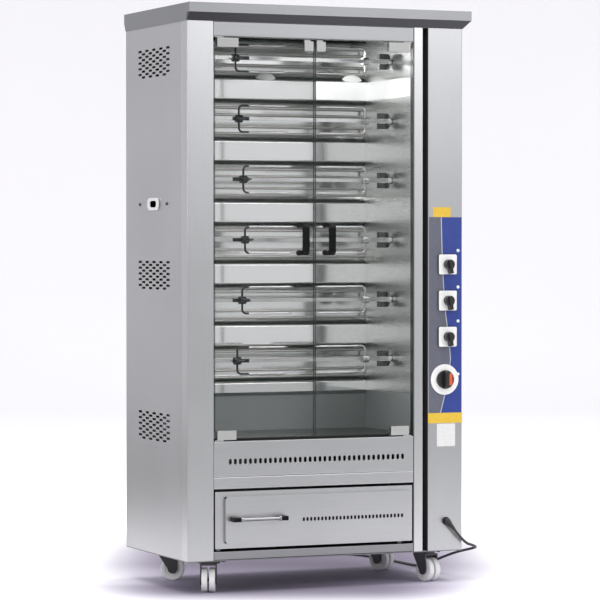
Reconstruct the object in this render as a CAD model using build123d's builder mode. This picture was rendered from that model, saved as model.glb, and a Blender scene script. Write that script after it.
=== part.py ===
from build123d import *
from math import cos, pi, radians, sin
import os

os.makedirs("parts", exist_ok=True)

# Upright electric chicken rotisserie on casters, with six spits, two glass doors,
# a grease drawer and a control column. Millimetres, +Z up, the front faces -Y.

# Whole cabinet
cabinet_width = 990
cabinet_depth = 562
caster_height = 106
cabinet_height = 1747
skin = 1.5
bend_radius = 3
seam = 0.3
base_thickness = 3
flange = 12

# Canopy on top
canopy_lip_height = 31
canopy_slope_height = 27
canopy_front_overhang = 25
canopy_right_overhang = 22
canopy_left_overhang = 2
canopy_rear_overhang = 14
canopy_flange = 14

# Front: pillars, fascia, rails and the column
left_pillar_width = 92
pillar_wrap_depth = 53
pillar_return_depth = 22
right_pillar_depth = 40
column_return_depth = 120
right_pillar_width = 36
column_gap = 17
column_width = 129
fascia_height = 48
fascia_return_depth = 26
rail_return_depth = 20
vent_panel_return_depth = 40
bottom_rail_height = 31
bottom_rail_gap = 9
drawer_front_height = 185
drawer_gap = 8
drawer_rail_height = 39
vent_panel_height = 117
door_gap = 9

# Doors
glass_thickness = 6
glass_inset = 8
door_side_gap = 5
door_seam_gap = 4
door_top_gap = 8
door_seam_shift = 3
pivot_inset = 15
pivot_pin_diameter = 8
pivot_clearance = 0.05
pivot_plate_length = 30
pivot_plate_width = 18
pivot_plate_thickness = 3
pivot_pin_engagement = 16
pivot_pin_end_gap = 1
clamp_plate = 5
clamp_inset = 9
clamp_height = 30
clamp_gap = 0.5
top_clamp_length = 74
bottom_clamp_length = 66
notch_length = 34
notch_height = 22
notch_clearance = 0.3
catch_plate_size = 32
catch_plate_thickness = 2.5
catch_plate_seam_distance = 6
magnet_width = 22
magnet_depth = 9
magnet_height = 20
magnet_gap = 0.4
handle_length = 105
handle_reach = 60
handle_width = 18
handle_arm = 15
handle_bar_depth = 18
handle_corner = 17
handle_inner_corner = 6
handle_height = 1150
handle_screw_diameter = 8
handle_screw_depth = 12
handle_screw_hole = 9
handle_screw_head = 18
handle_screw_head_thickness = 4
left_handle_seam_distance = 54
right_handle_seam_distance = 40

# Cooking chamber
left_wall_step = 5
right_wall_step = 22
chamber_depth = 388
chamber_floor_step = 5
ceiling_drop = 8
liner = 1.2
band_count = 5
band_pitch = 209
band_height = 62
top_band_height = 1660
trough_depth = 42
trough_slope = 26
top_trough_height = 146
strip_height = 31
strip_middle = 645
lower_wall_setback = 12
reflector_side_gap = 0.3

# Heating elements, two hairpins to a level
element_diameter = 8.5
hairpin_pitch = 24
upper_hairpin_lift = 30
lower_hairpin_drop = 34
element_setback = 24
element_end_gap = 40
element_flange_height = 34
element_flange_width = 11
element_flange_thickness = 3

# Spits
spit_count = 6
spit_pitch = 201
lowest_spit_height = 746
spit_setback = 215
rod_width = 12
rod_end_gap = 0.6
journal_diameter = 14
journal_clearance = 0.3
journal_end_gap = 0.5
collar_diameter = 22
collar_thickness = 4
collar_gap = 0.5
fork_span = 88
prong_diameter = 7
prong_length = 168
prong_tip = 14
prong_tip_diameter = 2
fork_bore_clearance = 0.1
fork_hub_diameter = 26
fork_hub_length = 22
fork_arm_radius = 14
wing_screw_diameter = 8
wing_screw_length = 16
wing_span = 26
wing_height = 13
wing_thickness = 5
left_fork_positions = (170, 182, 198, 204, 194, 176)
right_fork_position = 644

# Drive
shaft_diameter = 16
bearing_clearance = 0.05
shaft_wall_hole = 24
bearing_flange = 58
bearing_flange_thickness = 5
bearing_boss_diameter = 34
bearing_boss_length = 16
socket_disc_diameter = 54
socket_disc_thickness = 8
socket_wall_gap = 16
socket_finger_length = 26
socket_finger_height = 20
socket_finger_width = 20
socket_slot_clearance = 0.3
chain_pitch_radius = 32
sprocket_teeth = 16
sprocket_thickness = 5
sprocket_wall_distance = 42
sprocket_tooth_depth = 5
sprocket_tooth_root = 2
sprocket_tooth_angle = 68
sprocket_root_width = 8
sprocket_hub_diameter = 28
sprocket_hub_length = 10
shaft_end_length = 2
chain_tip_clearance = 0.6
chain_roller_thickness = 1.6
chain_plate_height = 10
chain_plate_thickness = 1.4
chain_side_clearance = 1.2
motor_drop = 150
gearbox_width = 90
gearbox_depth = 96
gearbox_height = 120
gearbox_gap = 2
motor_shaft_engagement = 24
motor_diameter = 84
motor_length = 130
motor_bracket_size = 150
motor_fillet = 6

# Rests for the spits' left ends
rest_width = 40
rest_thickness = 6
rest_drop = 30
rest_rise = 14

# Drawer
drawer_front_side_gap = 4
drawer_edge_return = 14
drawer_tray_inset = 16
drawer_tray_depth = 420
drawer_tray_height = 120
drawer_tray_lift = 22
field_left_margin = 32
field_right_margin = 8
field_bottom_margin = 16
field_top_margin = 16
field_raise = 12
field_corner = 12
drawer_handle_length = 190
drawer_handle_bar = 11
drawer_handle_reach = 28
drawer_handle_foot = 30
drawer_handle_foot_height = 15
drawer_handle_edge_radius = 4.5
drawer_handle_left_margin = 18
drawer_handle_lift = 96
runner_height = 16
runner_width = 14
runner_inset = 4
runner_foot = 40
runner_gap = 0.3
runner_front_setback = 40
runner_length = 440

# Vents
side_vent_columns = 5
side_vent_rows = 5
side_vent_column_pitch = 64
side_vent_row_pitch = 19.2
side_vent_slot_length = 31
side_vent_slot_width = 7.5
side_vent_heights = (1733, 1031, 530)
side_middle_setback = 300
front_vent_count = 36
front_vent_pitch = 17.7
front_vent_width = 10
front_vent_height = 18
front_vent_middle = 459
front_vent_lift = 50
drawer_vent_count = 28
drawer_vent_pitch = 13.2
drawer_vent_width = 8
drawer_vent_height = 13
drawer_vent_middle = 583
drawer_vent_lift = 87
rear_vent_rows = 12
rear_vent_row_pitch = 14
rear_vent_slot_length = 60
rear_vent_slot_width = 6
rear_vent_columns = 2
rear_vent_column_pitch = 80
rear_vent_from_right = 110
rear_vent_heights = (640, 1650)

# Pull grip in the side panels
grip_height = 1266
grip_hole_length = 66
grip_hole_height = 28
grip_ring_length = 130
grip_ring_height = 48
grip_ring_width = 7
grip_ring_raise = 1.2

# Controls
switch_plate_size = 66
switch_plate_thickness = 9
switch_plate_corner = 5
switch_from_column_left = 71.5
top_switch_height = 1066
switch_pitch = 121
switch_count = 3
switch_body_size = 44
module_depth = 48
module_hole_gap = 3
spindle_diameter = 6
spindle_clearance = 0.05
spindle_bore_depth = 20
spindle_length = 18
knob_gap = 0.5
knob_diameter = 33
knob_height = 20
knob_grip_height = 6
knob_tail_reach = 31
knob_tail_width = 12
knob_rest_turn = 12
knob_grip_inset = 2
knob_edge_radius = 2
dial_height = 681
dial_from_column_left = 63
dial_diameter = 102
dial_thickness = 3
thermostat_body_size = 54
dial_knob_diameter = 62
dial_skirt_height = 7
dial_grip_height = 18
dial_grip_width = 17
dial_grip_length = 56
lamp_diameter = 11
lamp_barrel_diameter = 8
lamp_hole_gap = 0.3
lamp_raise = 4
lamp_edge_radius = 3
lamp_depth = 20
lamp_from_right = 16
lamp_heights = (1112, 990, 876, 698)

# Casters
front_left_caster_inset = 110
front_right_caster_inset = 98
rear_caster_inset = 102
front_caster_setback = 90
rear_caster_setback = 458
caster_plate_length = 96
caster_plate_width = 80
caster_plate_thickness = 4
caster_bolt_size = 13
caster_bolt_head = 5
caster_bolt_margin = 9
kingpin_diameter = 16
kingpin_clearance = 0.05
kingpin_head_diameter = 24
kingpin_head_thickness = 3
swivel_gap = 0.3
swivel_head_diameter = 76
swivel_head_thickness = 9
swivel_head_edge = 3
fork_plate_thickness = 5
fork_plate_front = 24
fork_leg_thickness = 4
fork_leg_gap = 1
fork_leg_width = 34
wheel_diameter = 80
wheel_width = 19
wheel_slot = 6
wheel_trail = 24
wheel_edge_radius = 4
wheel_dish_diameter = 52
wheel_dish_depth = 3
wheel_hub_diameter = 24
axle_diameter = 10
axle_clearance = 0.05
front_left_turn = -24
front_right_turn = 12
rear_left_turn = 66
rear_right_turn = 25

# Mains cord, its elbow gland, its put-away coil and its plug
cord_diameter = 9
gland_height = 207
gland_from_column_left = 69
gland_flange_diameter = 27
gland_flange_thickness = 3
gland_body_diameter = 19
gland_reach = 17
gland_outlet_diameter = 16
gland_outlet_length = 12
gland_relief_length = 24
gland_relief_diameter = 14
gland_angle = 51
gland_thread_diameter = 16
gland_thread_length = 14
relief_tip_wall = 1
gland_hole_gap = 0.3
coil_x = 340
coil_y = 737
coil_outer_radius = 62
coil_gap = 1.2
coil_floor_half_turns = 4
coil_upper_half_turns = 2
coil_climb_ease = 1.65
coil_lead_in = 12
cord_last_run = 66
coil_lead_out = 40
corner_share = 0.45
neighbour_reach = 4
plug_length = 52
plug_width = 38
plug_corner = 7
plug_relief_length = 26
plug_relief_diameter = 14
plug_pin_diameter = 4.8
plug_pin_length = 19
plug_pin_pitch = 19
plug_pin_lift = 6

# How near a corner lies to where it is looked for
near = 0.1

# Places worked out from the sizes above
bottom = caster_height
top = bottom + cabinet_height
canopy_mid = top + canopy_slope_height
canopy_top = canopy_mid + canopy_lip_height
stand = bottom + base_thickness

handle_front = glass_inset - handle_reach
total_width = canopy_left_overhang + cabinet_width + canopy_right_overhang
total_depth = cabinet_depth + canopy_rear_overhang - handle_front
left = canopy_left_overhang - total_width / 2
right = left + cabinet_width
front = -total_depth / 2 - handle_front
back = front + cabinet_depth

opening_left = left + left_pillar_width
column_left = right - column_width
right_pillar_right = column_left - column_gap
opening_right = right_pillar_right - right_pillar_width
seam_x = (opening_left + opening_right) / 2 + door_seam_shift

fascia_bottom = top - fascia_height
bottom_rail_top = bottom + bottom_rail_height
drawer_bottom = bottom_rail_top + bottom_rail_gap
drawer_top = drawer_bottom + drawer_front_height
drawer_rail_bottom = drawer_top + drawer_gap
vent_panel_bottom = drawer_rail_bottom + drawer_rail_height
vent_panel_top = vent_panel_bottom + vent_panel_height

chamber_left = opening_left - left_wall_step
chamber_right = opening_right + right_wall_step
chamber_front = front + pillar_return_depth
chamber_back = chamber_front + chamber_depth
chamber_floor_top = vent_panel_top + chamber_floor_step
chamber_ceiling = top - ceiling_drop
liner_back = chamber_back + trough_depth + liner

spit_y = front + spit_setback
spit_heights = [lowest_spit_height + spit_pitch * i for i in range(spit_count)][::-1]
motor_height = lowest_spit_height - motor_drop


def block(x_from, x_to, y_from, y_to, z_from, z_to, mode=Mode.ADD):
    """Adds a rectangular block between two corners to the piece being made."""
    centre = ((x_from + x_to) / 2, (y_from + y_to) / 2, (z_from + z_to) / 2)
    with Locations(centre):
        Box(x_to - x_from, y_to - y_from, z_to - z_from, mode=mode)


def round_bar(start, end, diameter, mode=Mode.ADD):
    """Adds a round bar from one point to another."""
    along = Vector(end) - Vector(start)
    with BuildSketch(Plane(origin=start, z_dir=along)) as section:
        Circle(diameter / 2)
    extrude(section.sketch, amount=along.length, mode=mode)


def folded(points, thickness=skin, radius=bend_radius):
    """Draws the section of a folded sheet along its outer skin, thick to the left."""
    with BuildLine() as section:
        FilletPolyline(*points, radius=radius)
        offset(amount=thickness, side=Side.LEFT)
    make_face(section.edges())


def save(part, name):
    """Labels a finished piece and writes it to its own file."""
    part.label = name
    export_step(part, f"parts/{name}.step")


# Base plate that the whole cabinet stands on
with BuildPart() as base_pan:
    block(left, right, front, back, bottom, stand)
save(base_pan.part, "base_pan")

# Corner pillar on the left and the narrow pillar beside the column
with BuildPart() as left_front_pillar:
    with BuildSketch(Plane.XY.offset(stand)):
        folded([
            (left, front + pillar_wrap_depth),
            (left, front),
            (opening_left, front),
            (opening_left, front + pillar_return_depth),
        ])
    extrude(amount=top - stand)
save(left_front_pillar.part, "left_front_pillar")

with BuildPart() as right_front_pillar:
    with BuildSketch(Plane.XY.offset(stand)):
        folded([
            (opening_right, front + pillar_return_depth),
            (opening_right, front),
            (right_pillar_right, front),
            (right_pillar_right, front + right_pillar_depth),
            (column_left - seam, front + right_pillar_depth),
        ])
    extrude(amount=top - stand)
save(right_front_pillar.part, "right_front_pillar")


# Side panels, each with three fields of vent slots and a pull grip
def side_vents(height):
    """Cuts one field of slots through a side panel, in staggered rows."""
    half_row = side_vent_row_pitch / 4
    for lift, columns in ((half_row, side_vent_columns), (-half_row, side_vent_columns - 1)):
        with BuildSketch(Plane.YZ.offset(left)) as slots:
            with Locations((front + side_middle_setback, height + lift)):
                with GridLocations(side_vent_column_pitch, side_vent_row_pitch, columns, side_vent_rows):
                    SlotOverall(side_vent_slot_length, side_vent_slot_width)
        extrude(slots.sketch, amount=skin, mode=Mode.SUBTRACT)


with BuildPart() as left_side_panel:
    panel_front = front + pillar_wrap_depth + seam
    with BuildSketch(Plane.XY.offset(stand)):
        folded([
            (left + flange, back - skin),
            (left, back - skin),
            (left, panel_front),
            (left + flange, panel_front),
        ])
    extrude(amount=top - stand)
    for vent_height in side_vent_heights:
        side_vents(vent_height)
    with BuildSketch(Plane.YZ.offset(left)):
        with Locations((front + side_middle_setback, grip_height)):
            SlotOverall(grip_ring_length, grip_ring_height)
            SlotOverall(grip_ring_length - 2 * grip_ring_width, grip_ring_height - 2 * grip_ring_width,
                        mode=Mode.SUBTRACT)
    extrude(amount=-grip_ring_raise)
    with BuildSketch(Plane.YZ.offset(left)):
        with Locations((front + side_middle_setback, grip_height)):
            SlotOverall(grip_hole_length, grip_hole_height)
    extrude(amount=skin, mode=Mode.SUBTRACT)
save(left_side_panel.part, "left_side_panel")

with BuildPart() as right_side_panel:
    add(mirror(left_side_panel.part, about=Plane.YZ.offset((left + right) / 2)))
save(right_side_panel.part, "right_side_panel")

# Rear panel with two louvre fields behind the drive
with BuildPart() as rear_panel:
    block(left, right, back - skin, back, stand, top)
    for vent_height in rear_vent_heights:
        with BuildSketch(Plane.XZ.offset(-back)):
            with Locations((right - rear_vent_from_right, vent_height)):
                with GridLocations(rear_vent_column_pitch, rear_vent_row_pitch,
                                   rear_vent_columns, rear_vent_rows):
                    SlotOverall(rear_vent_slot_length, rear_vent_slot_width)
        extrude(amount=skin, mode=Mode.SUBTRACT)
save(rear_panel.part, "rear_panel")


# Canopy, a hollow folded hood whose lip overhangs the front, the right and the rear
def hood(inset, floor_z, lid_z):
    """Draws the hood's body with its walls moved inwards by the inset."""
    hood_left = left - canopy_left_overhang + inset
    low_corner = (hood_left, front + inset)
    low_end = (right - inset, back - inset)
    high_corner = (hood_left, front - canopy_front_overhang + inset)
    high_end = (right + canopy_right_overhang - inset, back + canopy_rear_overhang - inset)
    levels = []
    for height, start, end in ((floor_z, low_corner, low_end), (canopy_mid, high_corner, high_end)):
        with BuildSketch(Plane.XY.offset(height)) as level:
            with Locations(((start[0] + end[0]) / 2, (start[1] + end[1]) / 2)):
                Rectangle(end[0] - start[0], end[1] - start[1])
        levels.append(level.sketch)
    loft(levels)
    block(high_corner[0], high_end[0], high_corner[1], high_end[1], canopy_mid, lid_z)


with BuildPart() as hood_inside:
    hood(skin, top + skin, canopy_top - skin)

with BuildPart() as top_canopy:
    hood(0, top, canopy_top)
    add(hood_inside.part, mode=Mode.SUBTRACT)
    block(left + canopy_flange, right - canopy_flange, front + canopy_flange, back - canopy_flange,
          top, top + skin, mode=Mode.SUBTRACT)
save(top_canopy.part, "top_canopy")

# Fascia over the doors, rail over the drawer and rail under it
with BuildPart() as front_rails:
    rail_sections = [
        [
            (front + rail_return_depth, top),
            (front, top),
            (front, fascia_bottom),
            (front + fascia_return_depth, fascia_bottom),
        ],
        [
            (front + rail_return_depth, vent_panel_bottom),
            (front, vent_panel_bottom),
            (front, drawer_rail_bottom),
            (front + rail_return_depth, drawer_rail_bottom),
        ],
        [
            (front + rail_return_depth, bottom_rail_top),
            (front, bottom_rail_top),
            (front, stand),
            (front + rail_return_depth, stand),
        ],
    ]
    for section in rail_sections:
        with BuildSketch(Plane.YZ.offset(opening_left)):
            folded(section)
        extrude(amount=opening_right - opening_left)
save(front_rails.part, "front_rails")

# Panel under the doors with its row of upright slots
with BuildPart() as lower_front_panel:
    with BuildSketch(Plane.YZ.offset(opening_left)):
        folded([
            (front + vent_panel_return_depth, vent_panel_top),
            (front, vent_panel_top),
            (front, vent_panel_bottom),
            (front + rail_return_depth, vent_panel_bottom),
        ])
    extrude(amount=opening_right - opening_left)
    with BuildSketch(Plane.XZ.offset(-front)):
        with Locations((left + front_vent_middle, vent_panel_bottom + front_vent_lift)):
            with GridLocations(front_vent_pitch, 1, front_vent_count, 1):
                SlotOverall(front_vent_height, front_vent_width, rotation=90)
    extrude(amount=-skin, mode=Mode.SUBTRACT)
save(lower_front_panel.part, "lower_front_panel")

# Control column's front, with the openings for its controls and the cord's gland
switch_x = column_left + switch_from_column_left
switch_heights = [top_switch_height - switch_pitch * i for i in range(switch_count)]
dial_x = column_left + dial_from_column_left
lamp_x = right - lamp_from_right
gland_x = column_left + gland_from_column_left

with BuildPart() as column_front:
    with BuildSketch(Plane.XY.offset(stand)):
        folded([
            (column_left, front + column_return_depth),
            (column_left, front),
            (right, front),
            (right, front + pillar_wrap_depth),
        ])
    extrude(amount=top - stand)
    with BuildSketch(Plane.XZ.offset(-front)):
        with Locations([(switch_x, height) for height in switch_heights]):
            Rectangle(switch_body_size + module_hole_gap, switch_body_size + module_hole_gap)
        with Locations((dial_x, dial_height)):
            Rectangle(thermostat_body_size + module_hole_gap, thermostat_body_size + module_hole_gap)
        with Locations([(lamp_x, height) for height in lamp_heights]):
            Circle(lamp_barrel_diameter / 2 + lamp_hole_gap)
        with Locations((gland_x, gland_height)):
            Circle(gland_thread_diameter / 2 + gland_hole_gap)
    extrude(amount=-skin, mode=Mode.SUBTRACT)
save(column_front.part, "column_front")

# Chamber floor, with a front lip that stands on the vent panel's return
with BuildPart() as chamber_floor:
    block(chamber_left - liner, chamber_right + liner, chamber_front, liner_back,
          chamber_floor_top - liner, chamber_floor_top)
    block(opening_left + seam, opening_right - seam, chamber_front, chamber_front + liner,
          vent_panel_top, chamber_floor_top - liner)
save(chamber_floor.part, "chamber_floor")

with BuildPart() as chamber_ceiling_sheet:
    block(chamber_left - liner, chamber_right + liner, chamber_front, liner_back,
          chamber_ceiling, chamber_ceiling + liner)
save(chamber_ceiling_sheet.part, "chamber_ceiling")

# Chamber side walls, whose front flanges lie behind the pillars
with BuildPart() as chamber_side_walls:
    block(chamber_left - liner, chamber_left, chamber_front, liner_back,
          chamber_floor_top, chamber_ceiling)
    block(chamber_left, opening_left, chamber_front, chamber_front + liner,
          chamber_floor_top, chamber_ceiling)
    block(chamber_right, chamber_right + liner, chamber_front, liner_back,
          chamber_floor_top, chamber_ceiling)
    block(opening_right, chamber_right, chamber_front, chamber_front + liner,
          chamber_floor_top, chamber_ceiling)
    with BuildSketch(Plane.YZ.offset(chamber_right)):
        with Locations([(spit_y, height) for height in spit_heights]):
            Circle(shaft_wall_hole / 2)
    extrude(amount=liner, mode=Mode.SUBTRACT)
save(chamber_side_walls.part, "chamber_side_walls")

# Rear reflector, one folded sheet with a trough behind each spit
trough_back = chamber_back + trough_depth
strip_bottom = strip_middle - strip_height / 2
band_heights = [top_band_height - band_pitch * i for i in range(band_count)]
top_trough_top = top_band_height + band_height / 2 + top_trough_height

reflector_outline = [(chamber_back, chamber_ceiling)]
trough_middles = []
trough_top = top_trough_top
for band_middle in [*band_heights, strip_middle]:
    half_band = strip_height / 2 if band_middle == strip_middle else band_height / 2
    trough_bottom = band_middle + half_band
    trough_middles.append((trough_top + trough_bottom) / 2)
    reflector_outline += [
        (chamber_back, trough_top),
        (trough_back, trough_top - trough_slope),
        (trough_back, trough_bottom + trough_slope),
        (chamber_back, trough_bottom),
    ]
    trough_top = band_middle - half_band
reflector_outline += [
    (chamber_back, strip_bottom),
    (chamber_back + lower_wall_setback, strip_bottom - lower_wall_setback),
    (chamber_back + lower_wall_setback, chamber_floor_top),
]

with BuildPart() as rear_reflectors:
    with BuildSketch(Plane.YZ.offset(chamber_left + reflector_side_gap)):
        folded(reflector_outline, thickness=liner, radius=bend_radius)
    extrude(amount=chamber_right - chamber_left - 2 * reflector_side_gap)
save(rear_reflectors.part, "rear_reflectors")

# Heating elements, two hairpins before each trough, held by flanges on the right wall
element_y = trough_back - element_setback
hairpin_left = chamber_left + element_end_gap + hairpin_pitch / 2
hairpin_right = chamber_right - element_flange_thickness


def hairpin(middle):
    """Adds one hairpin tube about a height, with its end flange."""
    with BuildLine(Plane.XZ.offset(-element_y)) as route:
        upper = Line((hairpin_right, middle + hairpin_pitch / 2), (hairpin_left, middle + hairpin_pitch / 2))
        bend = TangentArc(upper @ 1, (hairpin_left, middle - hairpin_pitch / 2), tangent=upper % 1)
        Line(bend @ 1, (hairpin_right, middle - hairpin_pitch / 2))
    with BuildSketch(Plane(origin=upper @ 0, z_dir=upper % 0)) as section:
        Circle(element_diameter / 2)
    sweep(section.sketch, path=route.wires()[0])
    block(hairpin_right, chamber_right,
          element_y - element_flange_width / 2, element_y + element_flange_width / 2,
          middle - element_flange_height / 2, middle + element_flange_height / 2)


with BuildPart() as heating_elements:
    for trough_middle in trough_middles:
        hairpin(trough_middle + upper_hairpin_lift)
        hairpin(trough_middle - lower_hairpin_drop)
save(heating_elements.part, "heating_elements")

# Bearings on the right wall's outside and open rests on the left wall's inside
with BuildPart() as spit_bearings:
    bearing_left = chamber_right + liner
    rest_right = chamber_left + rest_thickness
    notch_width = journal_diameter + 2 * journal_clearance
    for spit_height in spit_heights:
        round_bar((bearing_left, spit_y, spit_height),
                  (bearing_left + bearing_flange_thickness, spit_y, spit_height), bearing_flange)
        round_bar((bearing_left, spit_y, spit_height),
                  (bearing_left + bearing_boss_length, spit_y, spit_height), bearing_boss_diameter)
        round_bar((bearing_left, spit_y, spit_height),
                  (bearing_left + bearing_boss_length, spit_y, spit_height),
                  shaft_diameter + 2 * bearing_clearance, mode=Mode.SUBTRACT)
        block(chamber_left, rest_right, spit_y - rest_width / 2, spit_y + rest_width / 2,
              spit_height - rest_drop, spit_height + rest_rise)
        round_bar((chamber_left, spit_y, spit_height), (rest_right, spit_y, spit_height),
                  notch_width, mode=Mode.SUBTRACT)
        block(chamber_left, rest_right, spit_y - notch_width / 2, spit_y + notch_width / 2,
              spit_height, spit_height + rest_rise, mode=Mode.SUBTRACT)
save(spit_bearings.part, "spit_bearings")

# Spits, each a square rod with two sliding forks and their wing screws
socket_disc_left = chamber_right - socket_wall_gap - socket_disc_thickness
journal_left = chamber_left + journal_end_gap
collar_left = chamber_left + rest_thickness + collar_gap
rod_left = collar_left + collar_thickness
rod_right = socket_disc_left - rod_end_gap


def fork(hub_x, height, way):
    """Adds a fork about the rod, with its prongs pointing to the right for way 1, left for -1."""
    arm_x = hub_x
    reach = way * prong_length
    tip = way * prong_tip
    for side in (-1, 1):
        prong_z = height + side * fork_span / 2
        with BuildLine(Plane.XZ.offset(-spit_y)) as route:
            FilletPolyline((arm_x, height), (arm_x, prong_z), (arm_x + reach, prong_z),
                           radius=fork_arm_radius)
        with BuildSketch(Plane(origin=(arm_x, spit_y, height), z_dir=(0, 0, side))) as section:
            Circle(prong_diameter / 2)
        sweep(section.sketch, path=route.wires()[0])
        with BuildSketch(Plane(origin=(arm_x + reach, spit_y, prong_z), z_dir=(way, 0, 0))) as tip_base:
            Circle(prong_diameter / 2)
        tip_x = arm_x + reach + tip
        with BuildSketch(Plane(origin=(tip_x, spit_y, prong_z), z_dir=(way, 0, 0))) as tip_end:
            Circle(prong_tip_diameter / 2)
        loft([tip_base.sketch, tip_end.sketch])
    hub_start = hub_x - fork_hub_length / 2
    hub_end = hub_x + fork_hub_length / 2
    round_bar((hub_start, spit_y, height), (hub_end, spit_y, height), fork_hub_diameter)
    half_bore = rod_width / 2 + fork_bore_clearance
    block(hub_start, hub_end, spit_y - half_bore, spit_y + half_bore,
          height - half_bore, height + half_bore, mode=Mode.SUBTRACT)


def wing_screw(hub_x, height):
    """Adds the wing screw that clamps a fork, on the hub's front."""
    shank_back = spit_y - fork_hub_diameter / 2
    shank_front = shank_back - wing_screw_length
    round_bar((hub_x, shank_back, height), (hub_x, shank_front, height), wing_screw_diameter)
    block(hub_x - wing_span / 2, hub_x + wing_span / 2, shank_front - wing_height, shank_front,
          height - wing_thickness / 2, height + wing_thickness / 2)


for number, spit_height in enumerate(spit_heights, start=1):
    left_fork_position = left_fork_positions[(number - 1) % len(left_fork_positions)]
    fork_places = (chamber_left + left_fork_position, chamber_left + right_fork_position)
    with BuildPart() as spit_forks:
        fork(fork_places[0], spit_height, 1)
        fork(fork_places[1], spit_height, -1)
    with BuildPart() as spit_screws:
        for place in fork_places:
            wing_screw(place, spit_height)
    with BuildPart() as spit_rod:
        round_bar((journal_left, spit_y, spit_height), (collar_left, spit_y, spit_height), journal_diameter)
        round_bar((collar_left, spit_y, spit_height), (rod_left, spit_y, spit_height), collar_diameter)
        block(rod_left, rod_right, spit_y - rod_width / 2, spit_y + rod_width / 2,
              spit_height - rod_width / 2, spit_height + rod_width / 2)
    spit = Compound(children=[
        *spit_rod.part.solids(),
        *spit_forks.part.solids(),
        *spit_screws.part.solids(),
    ])
    save(spit, f"spit_{number}")

# Drive shafts with their sockets and sprockets, and the chain that joins them
sprocket_x = chamber_right + sprocket_wall_distance
sprocket_tip_radius = chain_pitch_radius + sprocket_tooth_depth / 2
sprocket_root_radius = chain_pitch_radius - sprocket_tooth_depth / 2
socket_disc_right = socket_disc_left + socket_disc_thickness
hub_right = sprocket_x + sprocket_thickness / 2 + sprocket_hub_length
shaft_right = hub_right + shaft_end_length


def sprocket(height):
    """Adds a toothed sprocket with its hub, about the drive's axis at a height."""
    sprocket_left = sprocket_x - sprocket_thickness / 2
    with BuildSketch(Plane.YZ.offset(sprocket_left)) as wheel:
        with Locations((spit_y, height)):
            Circle(sprocket_root_radius)
            tooth_radius = sprocket_root_radius + (sprocket_tooth_depth - sprocket_tooth_root) / 2
            with PolarLocations(tooth_radius, sprocket_teeth):
                Trapezoid(sprocket_root_width, sprocket_tooth_depth + sprocket_tooth_root,
                          sprocket_tooth_angle, rotation=-90)
            Circle(sprocket_tip_radius, mode=Mode.INTERSECT)
    extrude(wheel.sketch, amount=sprocket_thickness)
    round_bar((sprocket_left, spit_y, height), (hub_right, spit_y, height), sprocket_hub_diameter)


for number, spit_height in enumerate(spit_heights, start=1):
    with BuildPart() as drive_shaft:
        round_bar((socket_disc_left, spit_y, spit_height), (socket_disc_right, spit_y, spit_height),
                  socket_disc_diameter)
        round_bar((socket_disc_right, spit_y, spit_height), (shaft_right, spit_y, spit_height),
                  shaft_diameter)
        finger_start = rod_width / 2 + socket_slot_clearance
        for side in (-1, 1):
            edges = sorted((spit_height + side * finger_start,
                            spit_height + side * (finger_start + socket_finger_height)))
            block(socket_disc_left - socket_finger_length, socket_disc_left,
                  spit_y - socket_finger_width / 2, spit_y + socket_finger_width / 2, *edges)
        sprocket(spit_height)
    save(drive_shaft.part, f"drive_shaft_{number}")

gearbox_left = hub_right + gearbox_gap
with BuildPart() as motor_sprocket:
    sprocket(motor_height)
    round_bar((hub_right, spit_y, motor_height),
              (gearbox_left + motor_shaft_engagement, spit_y, motor_height), shaft_diameter)
save(motor_sprocket.part, "motor_sprocket")

roller_radius = sprocket_tip_radius + chain_tip_clearance
plate_outer = chain_pitch_radius + chain_plate_height / 2 + chain_roller_thickness
plate_inner = plate_outer - chain_plate_height
chain_middle = (spit_heights[0] + motor_height) / 2
chain_run = spit_heights[0] - motor_height


def chain_loop(start_x, end_x, outer, inner):
    """Adds one closed loop of the chain between two radii about the end sprockets."""
    with BuildSketch(Plane.YZ.offset(start_x)) as loop:
        with Locations((spit_y, chain_middle)):
            SlotCenterToCenter(chain_run, 2 * outer, rotation=90)
            SlotCenterToCenter(chain_run, 2 * inner, rotation=90, mode=Mode.SUBTRACT)
    extrude(loop.sketch, amount=end_x - start_x)


with BuildPart() as drive_chain:
    half_gap = sprocket_thickness / 2 + chain_side_clearance
    half_chain = half_gap + chain_plate_thickness
    chain_loop(sprocket_x - half_chain, sprocket_x - half_gap, plate_outer, plate_inner)
    chain_loop(sprocket_x + half_gap, sprocket_x + half_chain, plate_outer, plate_inner)
    chain_loop(sprocket_x - half_gap, sprocket_x + half_gap,
               roller_radius + chain_roller_thickness, roller_radius)
save(drive_chain.part, "drive_chain")

# Gear motor on its bracket, fixed to the right side panel
with BuildPart() as gear_motor:
    gearbox_right = gearbox_left + gearbox_width
    half_box = gearbox_height / 2
    motor_x = (gearbox_left + gearbox_right) / 2
    block(gearbox_left, gearbox_right, spit_y - gearbox_depth / 2, spit_y + gearbox_depth / 2,
          motor_height - half_box, motor_height + half_box)
    fillet(gear_motor.edges().filter_by(Axis.X), motor_fillet)
    round_bar((motor_x, spit_y + gearbox_depth / 2, motor_height),
              (motor_x, spit_y + gearbox_depth / 2 + motor_length, motor_height), motor_diameter)
    block(gearbox_right, right - skin, spit_y - motor_bracket_size / 2, spit_y + motor_bracket_size / 2,
          motor_height - motor_bracket_size / 2, motor_height + motor_bracket_size / 2)
    round_bar((gearbox_left, spit_y, motor_height),
              (gearbox_left + motor_shaft_engagement + gearbox_gap, spit_y, motor_height),
              shaft_diameter + 2 * bearing_clearance, mode=Mode.SUBTRACT)
save(gear_motor.part, "gear_motor")

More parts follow.
